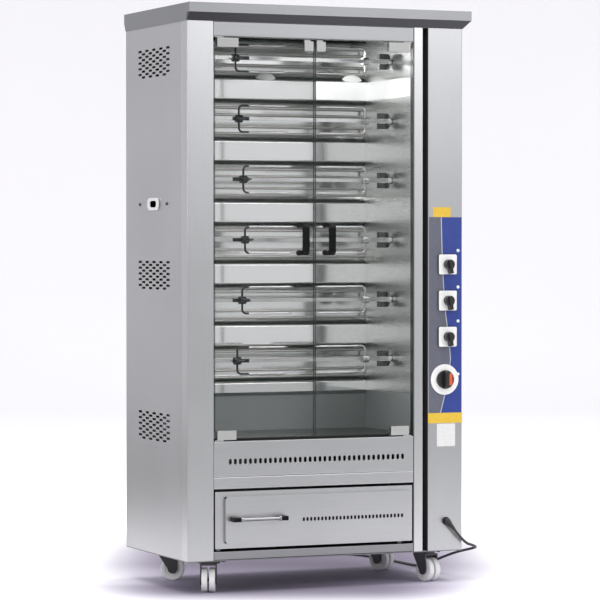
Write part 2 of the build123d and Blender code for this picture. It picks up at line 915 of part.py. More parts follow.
# Glass doors on pivots
glass_front = front + glass_inset
glass_back = glass_front + glass_thickness
glass_middle = (glass_front + glass_back) / 2
glass_bottom = vent_panel_top + door_gap
glass_top = fascia_bottom - door_top_gap
top_clamp_top = fascia_bottom - pivot_plate_thickness - clamp_gap
bottom_clamp_bottom = vent_panel_top + pivot_plate_thickness + clamp_gap


def door(side, hinge_edge, free_edge, handle_seam_distance):
    """Makes one leaf with its fittings and its handle; inwards is +1 on the left leaf."""
    inwards = 1 if free_edge > hinge_edge else -1
    pivot_x = hinge_edge + inwards * pivot_inset
    handle_x = seam_x - inwards * handle_seam_distance
    handle_bottom = handle_height - handle_length / 2
    handle_top = handle_height + handle_length / 2
    screw_heights = (handle_bottom + handle_arm / 2, handle_top - handle_arm / 2)

    def across(start, end):
        """Places a length from the hinge edge on either leaf."""
        return sorted((hinge_edge + inwards * start, hinge_edge + inwards * end))

    with BuildPart() as glass:
        block(*sorted((hinge_edge, free_edge)), glass_front, glass_back, glass_bottom, glass_top)
        block(*across(0, notch_length), glass_front, glass_back,
              glass_top - notch_height, glass_top, mode=Mode.SUBTRACT)
        block(*across(0, notch_length), glass_front, glass_back,
              glass_bottom, glass_bottom + notch_height, mode=Mode.SUBTRACT)
        for screw_height in screw_heights:
            round_bar((handle_x, glass_front, screw_height), (handle_x, glass_back, screw_height),
                      handle_screw_hole, mode=Mode.SUBTRACT)
    save(glass.part, f"{side}_door_glass")

    with BuildPart() as fittings:
        clamps = (
            (top_clamp_length, top_clamp_top - clamp_height, top_clamp_top,
             glass_top - notch_height + notch_clearance, top_clamp_top),
            (bottom_clamp_length, bottom_clamp_bottom, bottom_clamp_bottom + clamp_height,
             bottom_clamp_bottom, glass_bottom + notch_height - notch_clearance),
        )
        for length, low, high, core_low, core_high in clamps:
            clamp_across = across(clamp_inset, clamp_inset + length)
            block(*clamp_across, glass_front - clamp_plate, glass_front, low, high)
            block(*clamp_across, glass_back, glass_back + clamp_plate, low, high)
            block(*across(clamp_inset, notch_length - notch_clearance), glass_front, glass_back,
                  core_low, core_high)
        round_bar((pivot_x, glass_middle, top_clamp_top),
                  (pivot_x, glass_middle, top_clamp_top - pivot_pin_engagement),
                  pivot_pin_diameter + 2 * pivot_clearance, mode=Mode.SUBTRACT)
        round_bar((pivot_x, glass_middle, bottom_clamp_bottom),
                  (pivot_x, glass_middle, bottom_clamp_bottom + pivot_pin_engagement),
                  pivot_pin_diameter + 2 * pivot_clearance, mode=Mode.SUBTRACT)
        plate_near = seam_x - inwards * catch_plate_seam_distance
        plate_across = sorted((plate_near, plate_near - inwards * catch_plate_size))
        for plate_front in (glass_front - catch_plate_thickness, glass_back):
            block(*plate_across, plate_front, plate_front + catch_plate_thickness,
                  glass_top - catch_plate_size, glass_top)
    save(fittings.part, f"{side}_door_fittings")

    with BuildPart() as bow:
        with BuildSketch(Plane.YZ.offset(handle_x - handle_width / 2)) as outline:
            with BuildLine() as bow_outline:
                Polyline(
                    (glass_front, handle_bottom),
                    (glass_front - handle_reach, handle_bottom),
                    (glass_front - handle_reach, handle_top),
                    (glass_front, handle_top),
                    (glass_front, handle_top - handle_arm),
                    (glass_front - handle_reach + handle_bar_depth, handle_top - handle_arm),
                    (glass_front - handle_reach + handle_bar_depth, handle_bottom + handle_arm),
                    (glass_front, handle_bottom + handle_arm),
                    close=True,
                )
            make_face(bow_outline.edges())
            inner_face = glass_front - handle_reach + handle_bar_depth
            inner_corners = outline.vertices().filter_by_position(
                Axis.X, inner_face - near, inner_face + near)
            fillet(inner_corners, handle_inner_corner)
            outer_corners = outline.vertices().group_by(Axis.X)[0]
            fillet(outer_corners, handle_corner)
        extrude(outline.sketch, amount=handle_width)
        for screw_height in screw_heights:
            round_bar((handle_x, glass_front, screw_height),
                      (handle_x, glass_front - handle_screw_depth, screw_height),
                      handle_screw_diameter, mode=Mode.SUBTRACT)
    with BuildPart() as screws:
        for screw_height in screw_heights:
            round_bar((handle_x, glass_front - handle_screw_depth, screw_height),
                      (handle_x, glass_back, screw_height), handle_screw_diameter)
            round_bar((handle_x, glass_back, screw_height),
                      (handle_x, glass_back + handle_screw_head_thickness, screw_height), handle_screw_head)
    save(Compound(children=[*bow.part.solids(), *screws.part.solids()]), f"{side}_door_handle")


left_hinge_edge = opening_left + door_side_gap
right_hinge_edge = opening_right - door_side_gap
door("left", left_hinge_edge, seam_x - door_seam_gap / 2, left_handle_seam_distance)
door("right", right_hinge_edge, seam_x + door_seam_gap / 2, right_handle_seam_distance)

# Fixed pivots over and under the doors, and the magnets that hold the leaves shut
with BuildPart() as door_pivots:
    pivot_pin_reach = pivot_pin_engagement - pivot_pin_end_gap
    for pivot_x in (left_hinge_edge + pivot_inset, right_hinge_edge - pivot_inset):
        half_length = pivot_plate_length / 2
        plate_front = glass_middle - pivot_plate_width / 2
        plate_back = glass_middle + pivot_plate_width / 2
        block(pivot_x - half_length, pivot_x + half_length, plate_front, plate_back,
              fascia_bottom - pivot_plate_thickness, fascia_bottom)
        round_bar((pivot_x, glass_middle, fascia_bottom - pivot_plate_thickness),
                  (pivot_x, glass_middle, top_clamp_top - pivot_pin_reach), pivot_pin_diameter)
        block(pivot_x - half_length, pivot_x + half_length, plate_front, plate_back,
              vent_panel_top, vent_panel_top + pivot_plate_thickness)
        round_bar((pivot_x, glass_middle, vent_panel_top + pivot_plate_thickness),
                  (pivot_x, glass_middle, bottom_clamp_bottom + pivot_pin_reach), pivot_pin_diameter)
    magnet_front = glass_back + catch_plate_thickness + magnet_gap
    for way in (-1, 1):
        magnet_x = seam_x + way * (catch_plate_seam_distance + catch_plate_size / 2)
        block(magnet_x - magnet_width / 2, magnet_x + magnet_width / 2,
              magnet_front, magnet_front + magnet_depth, fascia_bottom - magnet_height, fascia_bottom)
save(door_pivots.part, "door_pivots")

# Grease drawer: a front with a raised field, and the tray behind it
drawer_left = opening_left + drawer_front_side_gap
drawer_right = opening_right - drawer_front_side_gap
field_left = drawer_left + field_left_margin
field_right = drawer_right - field_right_margin
field_bottom = drawer_bottom + field_bottom_margin
field_top = drawer_top - field_top_margin
field_front = front - field_raise
tray_left = drawer_left + drawer_tray_inset
tray_right = drawer_right - drawer_tray_inset
tray_bottom = drawer_bottom + drawer_tray_lift
tray_back = front + drawer_tray_depth

with BuildPart() as drawer_tray:
    block(drawer_left, drawer_right, front, front + drawer_edge_return, drawer_bottom, drawer_top)
    block(drawer_left + skin, drawer_right - skin, front + skin, front + drawer_edge_return,
          drawer_bottom + skin, drawer_top - skin, mode=Mode.SUBTRACT)
    field_middle = ((field_left + field_right) / 2, (field_bottom + field_top) / 2)
    with BuildSketch(Plane.XZ.offset(-front)):
        with Locations(field_middle):
            RectangleRounded(field_right - field_left, field_top - field_bottom, field_corner)
    extrude(amount=field_raise)
    with BuildSketch(Plane.XZ.offset(-front - skin)):
        with Locations(field_middle):
            RectangleRounded(field_right - field_left - 2 * skin, field_top - field_bottom - 2 * skin,
                             field_corner - skin)
    extrude(amount=field_raise, mode=Mode.SUBTRACT)
    with BuildSketch(Plane.XZ.offset(-field_front)):
        with Locations((left + drawer_vent_middle, drawer_bottom + drawer_vent_lift)):
            with GridLocations(drawer_vent_pitch, 1, drawer_vent_count, 1):
                SlotOverall(drawer_vent_height, drawer_vent_width, rotation=90)
    extrude(amount=-skin, mode=Mode.SUBTRACT)
    block(tray_left, tray_right, front + skin, tray_back, tray_bottom, tray_bottom + drawer_tray_height)
    block(tray_left + skin, tray_right - skin, front + 2 * skin, tray_back - skin,
          tray_bottom + skin, tray_bottom + drawer_tray_height, mode=Mode.SUBTRACT)
save(drawer_tray.part, "drawer_tray")

with BuildPart() as drawer_handle:
    handle_left = field_left + drawer_handle_left_margin
    bar_z = drawer_bottom + drawer_handle_lift
    bar_y = field_front - drawer_handle_reach
    foot_front = bar_y - drawer_handle_bar / 2
    for foot_left in (handle_left, handle_left + drawer_handle_length - drawer_handle_foot):
        block(foot_left, foot_left + drawer_handle_foot, foot_front, field_front,
              bar_z - drawer_handle_foot_height / 2, bar_z + drawer_handle_foot_height / 2)
    fillet(drawer_handle.edges().filter_by(Axis.X).group_by(Axis.Y)[0], drawer_handle_edge_radius)
with BuildPart() as drawer_handle_rod:
    round_bar((handle_left + drawer_handle_foot, bar_y, bar_z),
              (handle_left + drawer_handle_length - drawer_handle_foot, bar_y, bar_z), drawer_handle_bar)
save(Compound(children=[*drawer_handle.part.solids(), *drawer_handle_rod.part.solids()]), "drawer_handle")

# Runners under the drawer's tray, standing on the base plate
with BuildPart() as drawer_runners:
    runner_top = tray_bottom - runner_gap
    runner_front = front + runner_front_setback
    runner_back = runner_front + runner_length
    for inner_edge in (tray_left + runner_inset, tray_right - runner_inset - runner_width):
        block(inner_edge, inner_edge + runner_width, runner_front, runner_back,
              runner_top - runner_height, runner_top)
        for foot_front in (runner_front, runner_back - runner_foot):
            block(inner_edge, inner_edge + runner_width, foot_front, foot_front + runner_foot,
                  stand, runner_top - runner_height)
save(drawer_runners.part, "drawer_runners")

# Switch plates and the dial ring, each with its switch body behind the column's front
with BuildPart() as dial_plates:
    with BuildSketch(Plane.XZ.offset(-front)):
        with Locations([(switch_x, height) for height in switch_heights]):
            RectangleRounded(switch_plate_size, switch_plate_size, switch_plate_corner)
    extrude(amount=switch_plate_thickness)
    with BuildSketch(Plane.XZ.offset(-front)):
        with Locations((dial_x, dial_height)):
            Circle(dial_diameter / 2)
        with Locations([(lamp_x, height) for height in lamp_heights]):
            Circle(lamp_diameter / 2 + lamp_hole_gap, mode=Mode.SUBTRACT)
    extrude(amount=dial_thickness)
    with BuildSketch(Plane.XZ.offset(-front)):
        with Locations([(switch_x, height) for height in switch_heights]):
            Rectangle(switch_body_size, switch_body_size)
        with Locations((dial_x, dial_height)):
            Rectangle(thermostat_body_size, thermostat_body_size)
    extrude(amount=-module_depth)
    for height in switch_heights:
        bore_start = front - switch_plate_thickness
        round_bar((switch_x, bore_start, height), (switch_x, bore_start + spindle_bore_depth, height),
                  spindle_diameter + 2 * spindle_clearance, mode=Mode.SUBTRACT)
    round_bar((dial_x, front - dial_thickness, dial_height),
              (dial_x, front - dial_thickness + spindle_bore_depth, dial_height),
              spindle_diameter + 2 * spindle_clearance, mode=Mode.SUBTRACT)
save(dial_plates.part, "dial_plates")

# Knobs with a tail that points at their setting, and the thermostat's dial
for number, height in enumerate(switch_heights, start=1):
    with BuildPart() as switch_knob:
        knob_back = front - switch_plate_thickness - knob_gap
        round_bar((switch_x, knob_back, height), (switch_x, knob_back - knob_height, height), knob_diameter)
        fillet(switch_knob.edges().filter_by(GeomType.CIRCLE).group_by(Axis.Y)[0], knob_edge_radius)
        with BuildSketch(Plane.XZ.offset(-knob_back)):
            with Locations(Location((switch_x, height), knob_rest_turn)):
                with Locations((0, -knob_tail_reach / 2)):
                    Rectangle(knob_tail_width, knob_tail_reach)
        extrude(amount=knob_height)
        with BuildSketch(Plane.XZ.offset(-knob_back + knob_height)):
            with Locations(Location((switch_x, height), knob_rest_turn)):
                Rectangle(knob_tail_width, knob_diameter - 2 * knob_grip_inset)
        extrude(amount=knob_grip_height)
        round_bar((switch_x, knob_back, height), (switch_x, knob_back + spindle_length, height),
                  spindle_diameter)
    save(switch_knob.part, f"switch_knob_{number}")

with BuildPart() as thermostat_knob:
    knob_back = front - dial_thickness - knob_gap
    round_bar((dial_x, knob_back, dial_height), (dial_x, knob_back - dial_skirt_height, dial_height),
              dial_knob_diameter)
    with BuildSketch(Plane.XZ.offset(-knob_back + dial_skirt_height)):
        with Locations((dial_x, dial_height)):
            SlotOverall(dial_grip_length, dial_grip_width, rotation=90)
    extrude(amount=dial_grip_height)
    fillet(thermostat_knob.edges().group_by(Axis.Y)[0], knob_edge_radius)
    round_bar((dial_x, knob_back, dial_height), (dial_x, knob_back + spindle_length, dial_height),
              spindle_diameter)
save(thermostat_knob.part, "thermostat_knob")

with BuildPart() as pilot_lamps:
    for height in lamp_heights:
        round_bar((lamp_x, front, height), (lamp_x, front - lamp_raise, height), lamp_diameter)
    fillet(pilot_lamps.edges().group_by(Axis.Y)[0], lamp_edge_radius)
    for height in lamp_heights:
        round_bar((lamp_x, front, height), (lamp_x, front + lamp_depth, height), lamp_barrel_diameter)
save(pilot_lamps.part, "pilot_lamps")

# Casters: a fixed plate with its kingpin, a swivelling fork with its axle, and twin wheels
wheel_radius = wheel_diameter / 2
plate_bottom = bottom - caster_plate_thickness
head_top = plate_bottom - swivel_gap
head_bottom = head_top - swivel_head_thickness
fork_top = head_bottom
fork_bottom = fork_top - fork_plate_thickness
kingpin_end = fork_bottom - swivel_gap
leg_inside = wheel_slot / 2 + wheel_width + fork_leg_gap
leg_outside = leg_inside + fork_leg_thickness

caster_places = {
    "front_left": (left + front_left_caster_inset, front + front_caster_setback, front_left_turn),
    "front_right": (right - front_right_caster_inset, front + front_caster_setback, front_right_turn),
    "rear_left": (left + rear_caster_inset, front + rear_caster_setback, rear_left_turn),
    "rear_right": (right - rear_caster_inset, front + rear_caster_setback, rear_right_turn),
}

with BuildPart() as caster_mounts:
    for x, y, turn in caster_places.values():
        half_length = caster_plate_length / 2
        half_width = caster_plate_width / 2
        block(x - half_length, x + half_length, y - half_width, y + half_width, plate_bottom, bottom)
        round_bar((x, y, plate_bottom), (x, y, kingpin_end), kingpin_diameter)
        round_bar((x, y, kingpin_end), (x, y, kingpin_end - kingpin_head_thickness), kingpin_head_diameter)
with BuildPart() as caster_bolts:
    for x, y, turn in caster_places.values():
        with BuildSketch(Plane.XY.offset(plate_bottom)) as heads:
            with Locations((x, y)):
                with GridLocations(caster_plate_length - 2 * caster_bolt_margin,
                                   caster_plate_width - 2 * caster_bolt_margin, 2, 2):
                    RegularPolygon(caster_bolt_size / 2, 6, major_radius=False)
        extrude(heads.sketch, amount=-caster_bolt_head)
save(Compound(children=[*caster_mounts.part.solids(), *caster_bolts.part.solids()]), "caster_plates")

with BuildPart() as swivel_at_origin:
    with BuildSketch(Plane.XY.offset(head_bottom)) as head:
        Circle(swivel_head_diameter / 2)
    extrude(head.sketch, amount=swivel_head_thickness)
    fillet(swivel_at_origin.edges().group_by(Axis.Z)[-1], swivel_head_edge)
    leg_back = -wheel_trail - fork_leg_width / 2
    block(-leg_outside, leg_outside, leg_back, fork_plate_front, fork_bottom, fork_top)
    for leg_start in (-leg_outside, leg_inside):
        with BuildSketch(Plane.YZ.offset(leg_start)) as leg:
            with BuildLine() as leg_outline:
                Polyline(
                    (fork_plate_front, fork_bottom),
                    (leg_back, fork_bottom),
                    (leg_back, wheel_radius),
                    (leg_back + fork_leg_width, wheel_radius),
                    close=True,
                )
            make_face(leg_outline.edges())
            with Locations((-wheel_trail, wheel_radius)):
                Circle(fork_leg_width / 2)
        extrude(leg.sketch, amount=fork_leg_thickness)
    round_bar((-leg_outside, -wheel_trail, wheel_radius), (leg_outside, -wheel_trail, wheel_radius),
              axle_diameter)
    round_bar((0, 0, kingpin_end), (0, 0, head_top), kingpin_diameter + 2 * kingpin_clearance,
              mode=Mode.SUBTRACT)

with BuildPart() as wheels_at_origin:
    for wheel_start, outer_face in ((wheel_slot / 2, wheel_slot / 2 + wheel_width),
                                    (-wheel_slot / 2 - wheel_width, -wheel_slot / 2 - wheel_width)):
        way = 1 if outer_face > 0 else -1
        with BuildPart() as wheel:
            round_bar((wheel_start, -wheel_trail, wheel_radius),
                      (wheel_start + wheel_width, -wheel_trail, wheel_radius), wheel_diameter)
            fillet(wheel.edges().filter_by(GeomType.CIRCLE), wheel_edge_radius)
            round_bar((outer_face, -wheel_trail, wheel_radius),
                      (outer_face - way * wheel_dish_depth, -wheel_trail, wheel_radius),
                      wheel_dish_diameter, mode=Mode.SUBTRACT)
            round_bar((outer_face - way * wheel_dish_depth, -wheel_trail, wheel_radius),
                      (outer_face, -wheel_trail, wheel_radius), wheel_hub_diameter)
            round_bar((wheel_start, -wheel_trail, wheel_radius),
                      (wheel_start + wheel_width, -wheel_trail, wheel_radius),
                      axle_diameter + 2 * axle_clearance, mode=Mode.SUBTRACT)
        add(wheel.part)

for place, (x, y, turn) in caster_places.items():
    stance = Location((x, y, 0), (0, 0, turn))
    save(swivel_at_origin.part.moved(stance), f"caster_swivel_{place}")
    save(wheels_at_origin.part.moved(stance), f"caster_wheels_{place}")

# Mains cord: an elbow gland, the free stretch, the put-away coil behind the cabinet and the plug
gland_y = front - gland_reach
gland_centre = Vector(gland_x, gland_y, gland_height)
outlet = Vector(cos(radians(gland_angle)), 0, -sin(radians(gland_angle)))
outlet_end = gland_centre + outlet * gland_outlet_length
cord_start = outlet_end + outlet * gland_relief_length

with BuildPart() as cable_gland:
    round_bar((gland_x, front, gland_height), (gland_x, front - gland_flange_thickness, gland_height),
              gland_flange_diameter)
    round_bar((gland_x, front, gland_height), (gland_x, gland_y, gland_height), gland_body_diameter)
    round_bar((gland_x, front, gland_height), (gland_x, front + gland_thread_length, gland_height),
              gland_thread_diameter)
    with Locations(gland_centre):
        Sphere(gland_body_diameter / 2)
    round_bar(gland_centre, outlet_end, gland_outlet_diameter)
    with BuildSketch(Plane(origin=outlet_end, z_dir=outlet)) as relief_base:
        Circle(gland_relief_diameter / 2)
    with BuildSketch(Plane(origin=cord_start, z_dir=outlet)) as relief_end:
        Circle(cord_diameter / 2 + relief_tip_wall)
    loft([relief_base.sketch, relief_end.sketch])
save(cable_gland.part, "cable_gland")

# The route is laid by hand, measured from the cabinet's front left corner at the floor
cord_height = cord_diameter / 2
coil_pitch = cord_diameter + coil_gap
coil_top_height = cord_height + coil_pitch
cord_points = [
    (left + 990, front - 17, 133),
    (left + 1030, front - 11, 121),
    (left + 1058, front + 24, 111),
    (left + 1062, front + 88, 99),
    (left + 1058, front + 170, 82),
    (left + 1052, front + 250, 60),
    (left + 1046, front + 330, 35),
    (left + 1046, front + 410, 11),
    (left + 1050, front + 500, cord_height),
    (left + 1048, front + 620, cord_height),
    (left + 1040, front + 740, cord_height),
    (left + 1030, front + 850, cord_height),
    (left + 1000, front + 925, cord_height),
]
coil_entry = Vector(coil_x, coil_y - coil_outer_radius, cord_height)
cord_end = coil_entry + Vector(coil_lead_in, 0, 0)
route = [
    cord_start,
    *[Vector(*point) for point in cord_points],
    cord_end + Vector(cord_last_run, 0, 0),
    cord_end,
]


def corner_radius(before, corner, after):
    """Gives the largest smooth arc that two runs of the cord allow."""
    run_in = corner - before
    run_out = after - corner
    half_turn = radians(run_in.get_angle(run_out)) / 2
    return corner_share * min(run_in.length, run_out.length) / (sin(half_turn) / cos(half_turn))


cord_radii = [corner_radius(*route[i - 1:i + 2]) for i in range(1, len(route) - 1)]
with BuildPart() as mains_cord:
    with BuildLine() as cord_path:
        FilletPolyline(*route, radius=cord_radii)
    cord_wire = cord_path.wires()[0]
    with BuildSketch(Plane(origin=route[0], z_dir=outlet)) as cord_section:
        Circle(cord_diameter / 2)
    sweep(cord_section.sketch, path=cord_wire)
save(mains_cord.part, "mains_cord")

# The coil spirals in on the floor, climbs a layer in its inmost half turn and spirals out again
coil_inner_radius = coil_outer_radius - coil_floor_half_turns * coil_pitch / 2
coil_radii = [
    *[coil_outer_radius - i * coil_pitch / 2 for i in range(coil_floor_half_turns)],
    coil_inner_radius + coil_climb_ease,
    *[coil_inner_radius + (i + 1) * coil_pitch / 2 for i in range(coil_upper_half_turns)],
]
with BuildPart() as cord_coil:
    with BuildLine() as coil_path:
        lead_in = Line(cord_end, coil_entry)
        turn_start = lead_in @ 1
        onward = Vector(-1, 0, 0)
        inward = Vector(0, 1, 0)
        for i, turn_radius in enumerate(coil_radii):
            climb = coil_pitch if i == coil_floor_half_turns else 0
            turn_end = turn_start + inward * (2 * turn_radius) + Vector(0, 0, climb)
            half_chord = (turn_end - turn_start).length / 2
            crest = (turn_start + turn_end) * 0.5 + onward * half_chord
            first_half = TangentArc(turn_start, crest, tangent=onward)
            TangentArc(crest, turn_end, tangent=first_half % 1)
            turn_start = turn_end
            onward = onward * -1
            inward = inward * -1
        lead_out = Line(turn_start, turn_start + onward * coil_lead_out)
    coil_wire = coil_path.wires()[0]
    with BuildSketch(Plane(origin=cord_end, z_dir=lead_in % 0)) as coil_section:
        Circle(cord_diameter / 2)
    sweep(coil_section.sketch, path=coil_wire)
save(cord_coil.part, "cord_coil")

# Plug with a tapered relief and three pins, lying beside the coil
plug_start = lead_out @ 1
plug_way = lead_out % 1
body_start = plug_start + plug_way * plug_relief_length
body_end = body_start + plug_way * plug_length
with BuildPart() as mains_plug:
    with BuildSketch(Plane(origin=plug_start, z_dir=plug_way)) as plug_relief_tip:
        Circle(cord_diameter / 2 + relief_tip_wall)
    with BuildSketch(Plane(origin=body_start, z_dir=plug_way)) as plug_relief_base:
        Circle(plug_relief_diameter / 2)
    loft([plug_relief_tip.sketch, plug_relief_base.sketch])
    with BuildSketch(Plane(origin=body_start, x_dir=(0, 1, 0), z_dir=plug_way)) as plug_section:
        RectangleRounded(plug_width, 2 * coil_top_height, plug_corner)
    extrude(plug_section.sketch, amount=plug_length)
    for offset_y, offset_z in ((-plug_pin_pitch / 2, 0), (plug_pin_pitch / 2, 0), (0, plug_pin_lift)):
        pin_start = body_end + Vector(0, offset_y, offset_z)
        round_bar(pin_start, pin_start + plug_way * plug_pin_length, plug_pin_diameter)
save(mains_plug.part, "mains_plug")


def least_gap(path, diameter, samples=600):
    """Measures the least gap between stretches of a tube that are not neighbours."""
    points = [path @ (i / samples) for i in range(samples + 1)]
    apart = int(neighbour_reach * diameter * samples / path.length)
    nearest = min(
        (points[i] - points[j]).length
        for i in range(samples + 1)
        for j in range(i + apart, samples + 1)
    )
    return nearest - diameter


cord_section_area = pi * cord_diameter ** 2 / 4
print("cord radii", [round(radius) for radius in cord_radii])
print("cord length", round(cord_wire.length), "coil length", round(coil_wire.length))
print("cord volume over section times length",
      round(mains_cord.part.volume / (cord_section_area * cord_wire.length), 4))
print("coil volume over section times length",
      round(cord_coil.part.volume / (cord_section_area * coil_wire.length), 4))
print("coil's least gap to itself", round(least_gap(coil_wire, cord_diameter), 2))
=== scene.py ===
import bpy, bmesh, math
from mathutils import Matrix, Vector


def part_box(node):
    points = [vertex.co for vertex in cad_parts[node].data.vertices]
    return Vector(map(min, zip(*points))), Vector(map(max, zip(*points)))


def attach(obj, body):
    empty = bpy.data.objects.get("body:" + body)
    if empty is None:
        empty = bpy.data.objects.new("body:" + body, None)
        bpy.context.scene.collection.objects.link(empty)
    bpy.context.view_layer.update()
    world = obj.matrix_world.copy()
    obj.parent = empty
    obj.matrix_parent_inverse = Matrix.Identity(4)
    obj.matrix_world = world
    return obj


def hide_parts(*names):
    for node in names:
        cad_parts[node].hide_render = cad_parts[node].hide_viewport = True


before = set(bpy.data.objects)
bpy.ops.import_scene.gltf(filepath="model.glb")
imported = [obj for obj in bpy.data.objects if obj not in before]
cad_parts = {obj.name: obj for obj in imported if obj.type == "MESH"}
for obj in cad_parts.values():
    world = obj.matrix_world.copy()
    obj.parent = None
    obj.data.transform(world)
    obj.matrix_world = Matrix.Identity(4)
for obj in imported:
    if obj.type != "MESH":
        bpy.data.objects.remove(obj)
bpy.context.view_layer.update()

# The photograph is taken from the front left at chest height, with a long lens, so the
# cabinet's sides hardly converge. The camera stands nine and a half metres from the front
# left corner and looks down by one degree.
lens_mm = 177.69
camera_place = Vector((-4.012552, -9.131632, 1.130032))
camera_turn = math.radians(-23.755)
camera_tilt = math.radians(90 - 1.06)
camera_data = bpy.data.cameras.new("camera")
camera_data.lens = lens_mm
camera_data.sensor_width = 36
camera_data.sensor_fit = "HORIZONTAL"
camera = bpy.data.objects.new("camera", camera_data)
camera.location = camera_place
camera.rotation_euler = (camera_tilt, 0, camera_turn)
camera_data.clip_end = 60
bpy.context.scene.collection.objects.link(camera)
bpy.context.scene.camera = camera


# The mains cord is a 9 mm rubber-sheathed cable. It leaves the elbow gland on the column,
# bends round the column's corner, sinks to the floor beside the cabinet, runs back and is
# wound up behind it. The places are measured from the cabinet's front left corner.
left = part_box("left_front_pillar")[0].x
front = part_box("left_front_pillar")[0].y
cord_thickness = 0.009
cord_floor = cord_thickness / 2
gland_angle = math.radians(51)
gland_centre = Vector((left + 0.930, front - 0.017, 0.207))
gland_outlet = Vector((math.cos(gland_angle), 0, -math.sin(gland_angle)))
gland_reach = 0.036
cord_exit = gland_centre + gland_outlet * gland_reach
coil_centre = Vector((0.340, 0.737, cord_floor))
coil_outer_radius = 0.062
coil_pitch = cord_thickness + 0.0012
coil_floor_half_turns = 4
coil_upper_half_turns = 2
coil_climb_ease = 0.00165
coil_approach = 0.066
coil_lead_in = 0.012
coil_lead_out = 0.040
coil_entry = coil_centre - Vector((0, coil_outer_radius, 0))

cord_route = [
    cord_exit,
    Vector((left + 0.990, front - 0.017, 0.133)),
    Vector((left + 1.030, front - 0.011, 0.121)),
    Vector((left + 1.058, front + 0.024, 0.111)),
    Vector((left + 1.062, front + 0.088, 0.099)),
    Vector((left + 1.058, front + 0.170, 0.082)),
    Vector((left + 1.052, front + 0.250, 0.060)),
    Vector((left + 1.046, front + 0.330, 0.035)),
    Vector((left + 1.046, front + 0.410, 0.011)),
    Vector((left + 1.050, front + 0.500, cord_floor)),
    Vector((left + 1.048, front + 0.620, cord_floor)),
    Vector((left + 1.040, front + 0.740, cord_floor)),
    Vector((left + 1.030, front + 0.850, cord_floor)),
    Vector((left + 1.000, front + 0.925, cord_floor)),
    coil_entry + Vector((coil_lead_in + coil_approach, 0, 0)),
    coil_entry + Vector((coil_lead_in, 0, 0)),
]

coil_inner_radius = coil_outer_radius - coil_floor_half_turns * coil_pitch / 2
coil_radii = [
    *[coil_outer_radius - i * coil_pitch / 2 for i in range(coil_floor_half_turns)],
    coil_inner_radius + coil_climb_ease,
    *[coil_inner_radius + (i + 1) * coil_pitch / 2 for i in range(coil_upper_half_turns)],
]
coil_route = []
turn_start = coil_entry.copy()
onward = Vector((-1, 0, 0))
inward = Vector((0, 1, 0))
steps = 8
for i, turn_radius in enumerate(coil_radii):
    climb = Vector((0, 0, coil_pitch if i == coil_floor_half_turns else 0))
    turn_centre = turn_start + inward * turn_radius
    control_radius = turn_radius / math.cos(math.pi / steps / 2)
    for step in range(steps):
        angle = math.pi * (step + 0.5) / steps
        coil_route.append(turn_centre + climb * (1 - math.cos(angle)) / 2
                          + onward * math.sin(angle) * control_radius
                          - inward * math.cos(angle) * control_radius)
    turn_start = turn_start + inward * 2 * turn_radius + climb
    onward = -onward
    inward = -inward
coil_route.append(turn_start + onward * coil_lead_out / 2)
coil_route.append(turn_start + onward * coil_lead_out)

mains_route = cord_route + coil_route
cord_curve = bpy.data.curves.new("mains_lead", "CURVE")
cord_curve.dimensions = "3D"
spline = cord_curve.splines.new("NURBS")
spline.points.add(len(mains_route) - 1)
point_radius = 0.01
for point, place in zip(spline.points, mains_route):
    point.co = (*place, 1)
    point.radius = point_radius
spline.order_u = 3
spline.use_endpoint_u = True
cord_curve.resolution_u = 8
cord_curve.bevel_depth = cord_thickness / 2 / point_radius
cord_curve.bevel_resolution = 5
cord_curve.use_fill_caps = True
mains_lead = bpy.data.objects.new("mains_lead", cord_curve)
bpy.context.scene.collection.objects.link(mains_lead)
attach(mains_lead, "cabinet")
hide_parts("mains_cord", "cord_coil")


def new_material(name):
    """Starts a material and gives its nodes, its links and its shader."""
    material = bpy.data.materials.new(name)
    material.use_nodes = True
    nodes = material.node_tree.nodes
    return material, nodes, material.node_tree.links, nodes["Principled BSDF"]


def moulded(name, tint, roughness, grain=900):
    """Makes rubber, plastic or paint with a fine uneven skin."""
    material, nodes, links, shader = new_material(name)
    place = nodes.new("ShaderNodeTexCoord")
    noise = nodes.new("ShaderNodeTexNoise")
    noise.inputs["Scale"].default_value = grain
    noise.inputs["Detail"].default_value = 4
    ramp = nodes.new("ShaderNodeValToRGB")
    ramp.color_ramp.elements[0].color = (*[v * 0.85 for v in tint], 1)
    ramp.color_ramp.elements[1].color = (*[min(1, v * 1.12) for v in tint], 1)
    bump = nodes.new("ShaderNodeBump")
    bump.inputs["Strength"].default_value = 0.12
    bump.inputs["Distance"].default_value = 0.0003
    links.new(place.outputs["Object"], noise.inputs["Vector"])
    links.new(noise.outputs["Fac"], ramp.inputs["Fac"])
    links.new(ramp.outputs["Color"], shader.inputs["Base Color"])
    links.new(noise.outputs["Fac"], bump.inputs["Height"])
    links.new(bump.outputs["Normal"], shader.inputs["Normal"])
    shader.inputs["Roughness"].default_value = roughness
    return material


def dress(material, *names):
    """Gives CAD nodes their finish."""
    for name in names:
        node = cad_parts[name]
        node.data.materials.clear()
        node.data.materials.append(material)


def new_piece(name, shape, material, body):
    """Turns a bmesh into a piece that rides on a body."""
    mesh = bpy.data.meshes.new(name)
    bmesh.ops.recalc_face_normals(shape, faces=shape.faces)
    shape.to_mesh(mesh)
    shape.free()
    mesh.materials.append(material)
    piece = bpy.data.objects.new(name, mesh)
    bpy.context.scene.collection.objects.link(piece)
    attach(piece, body)
    return piece


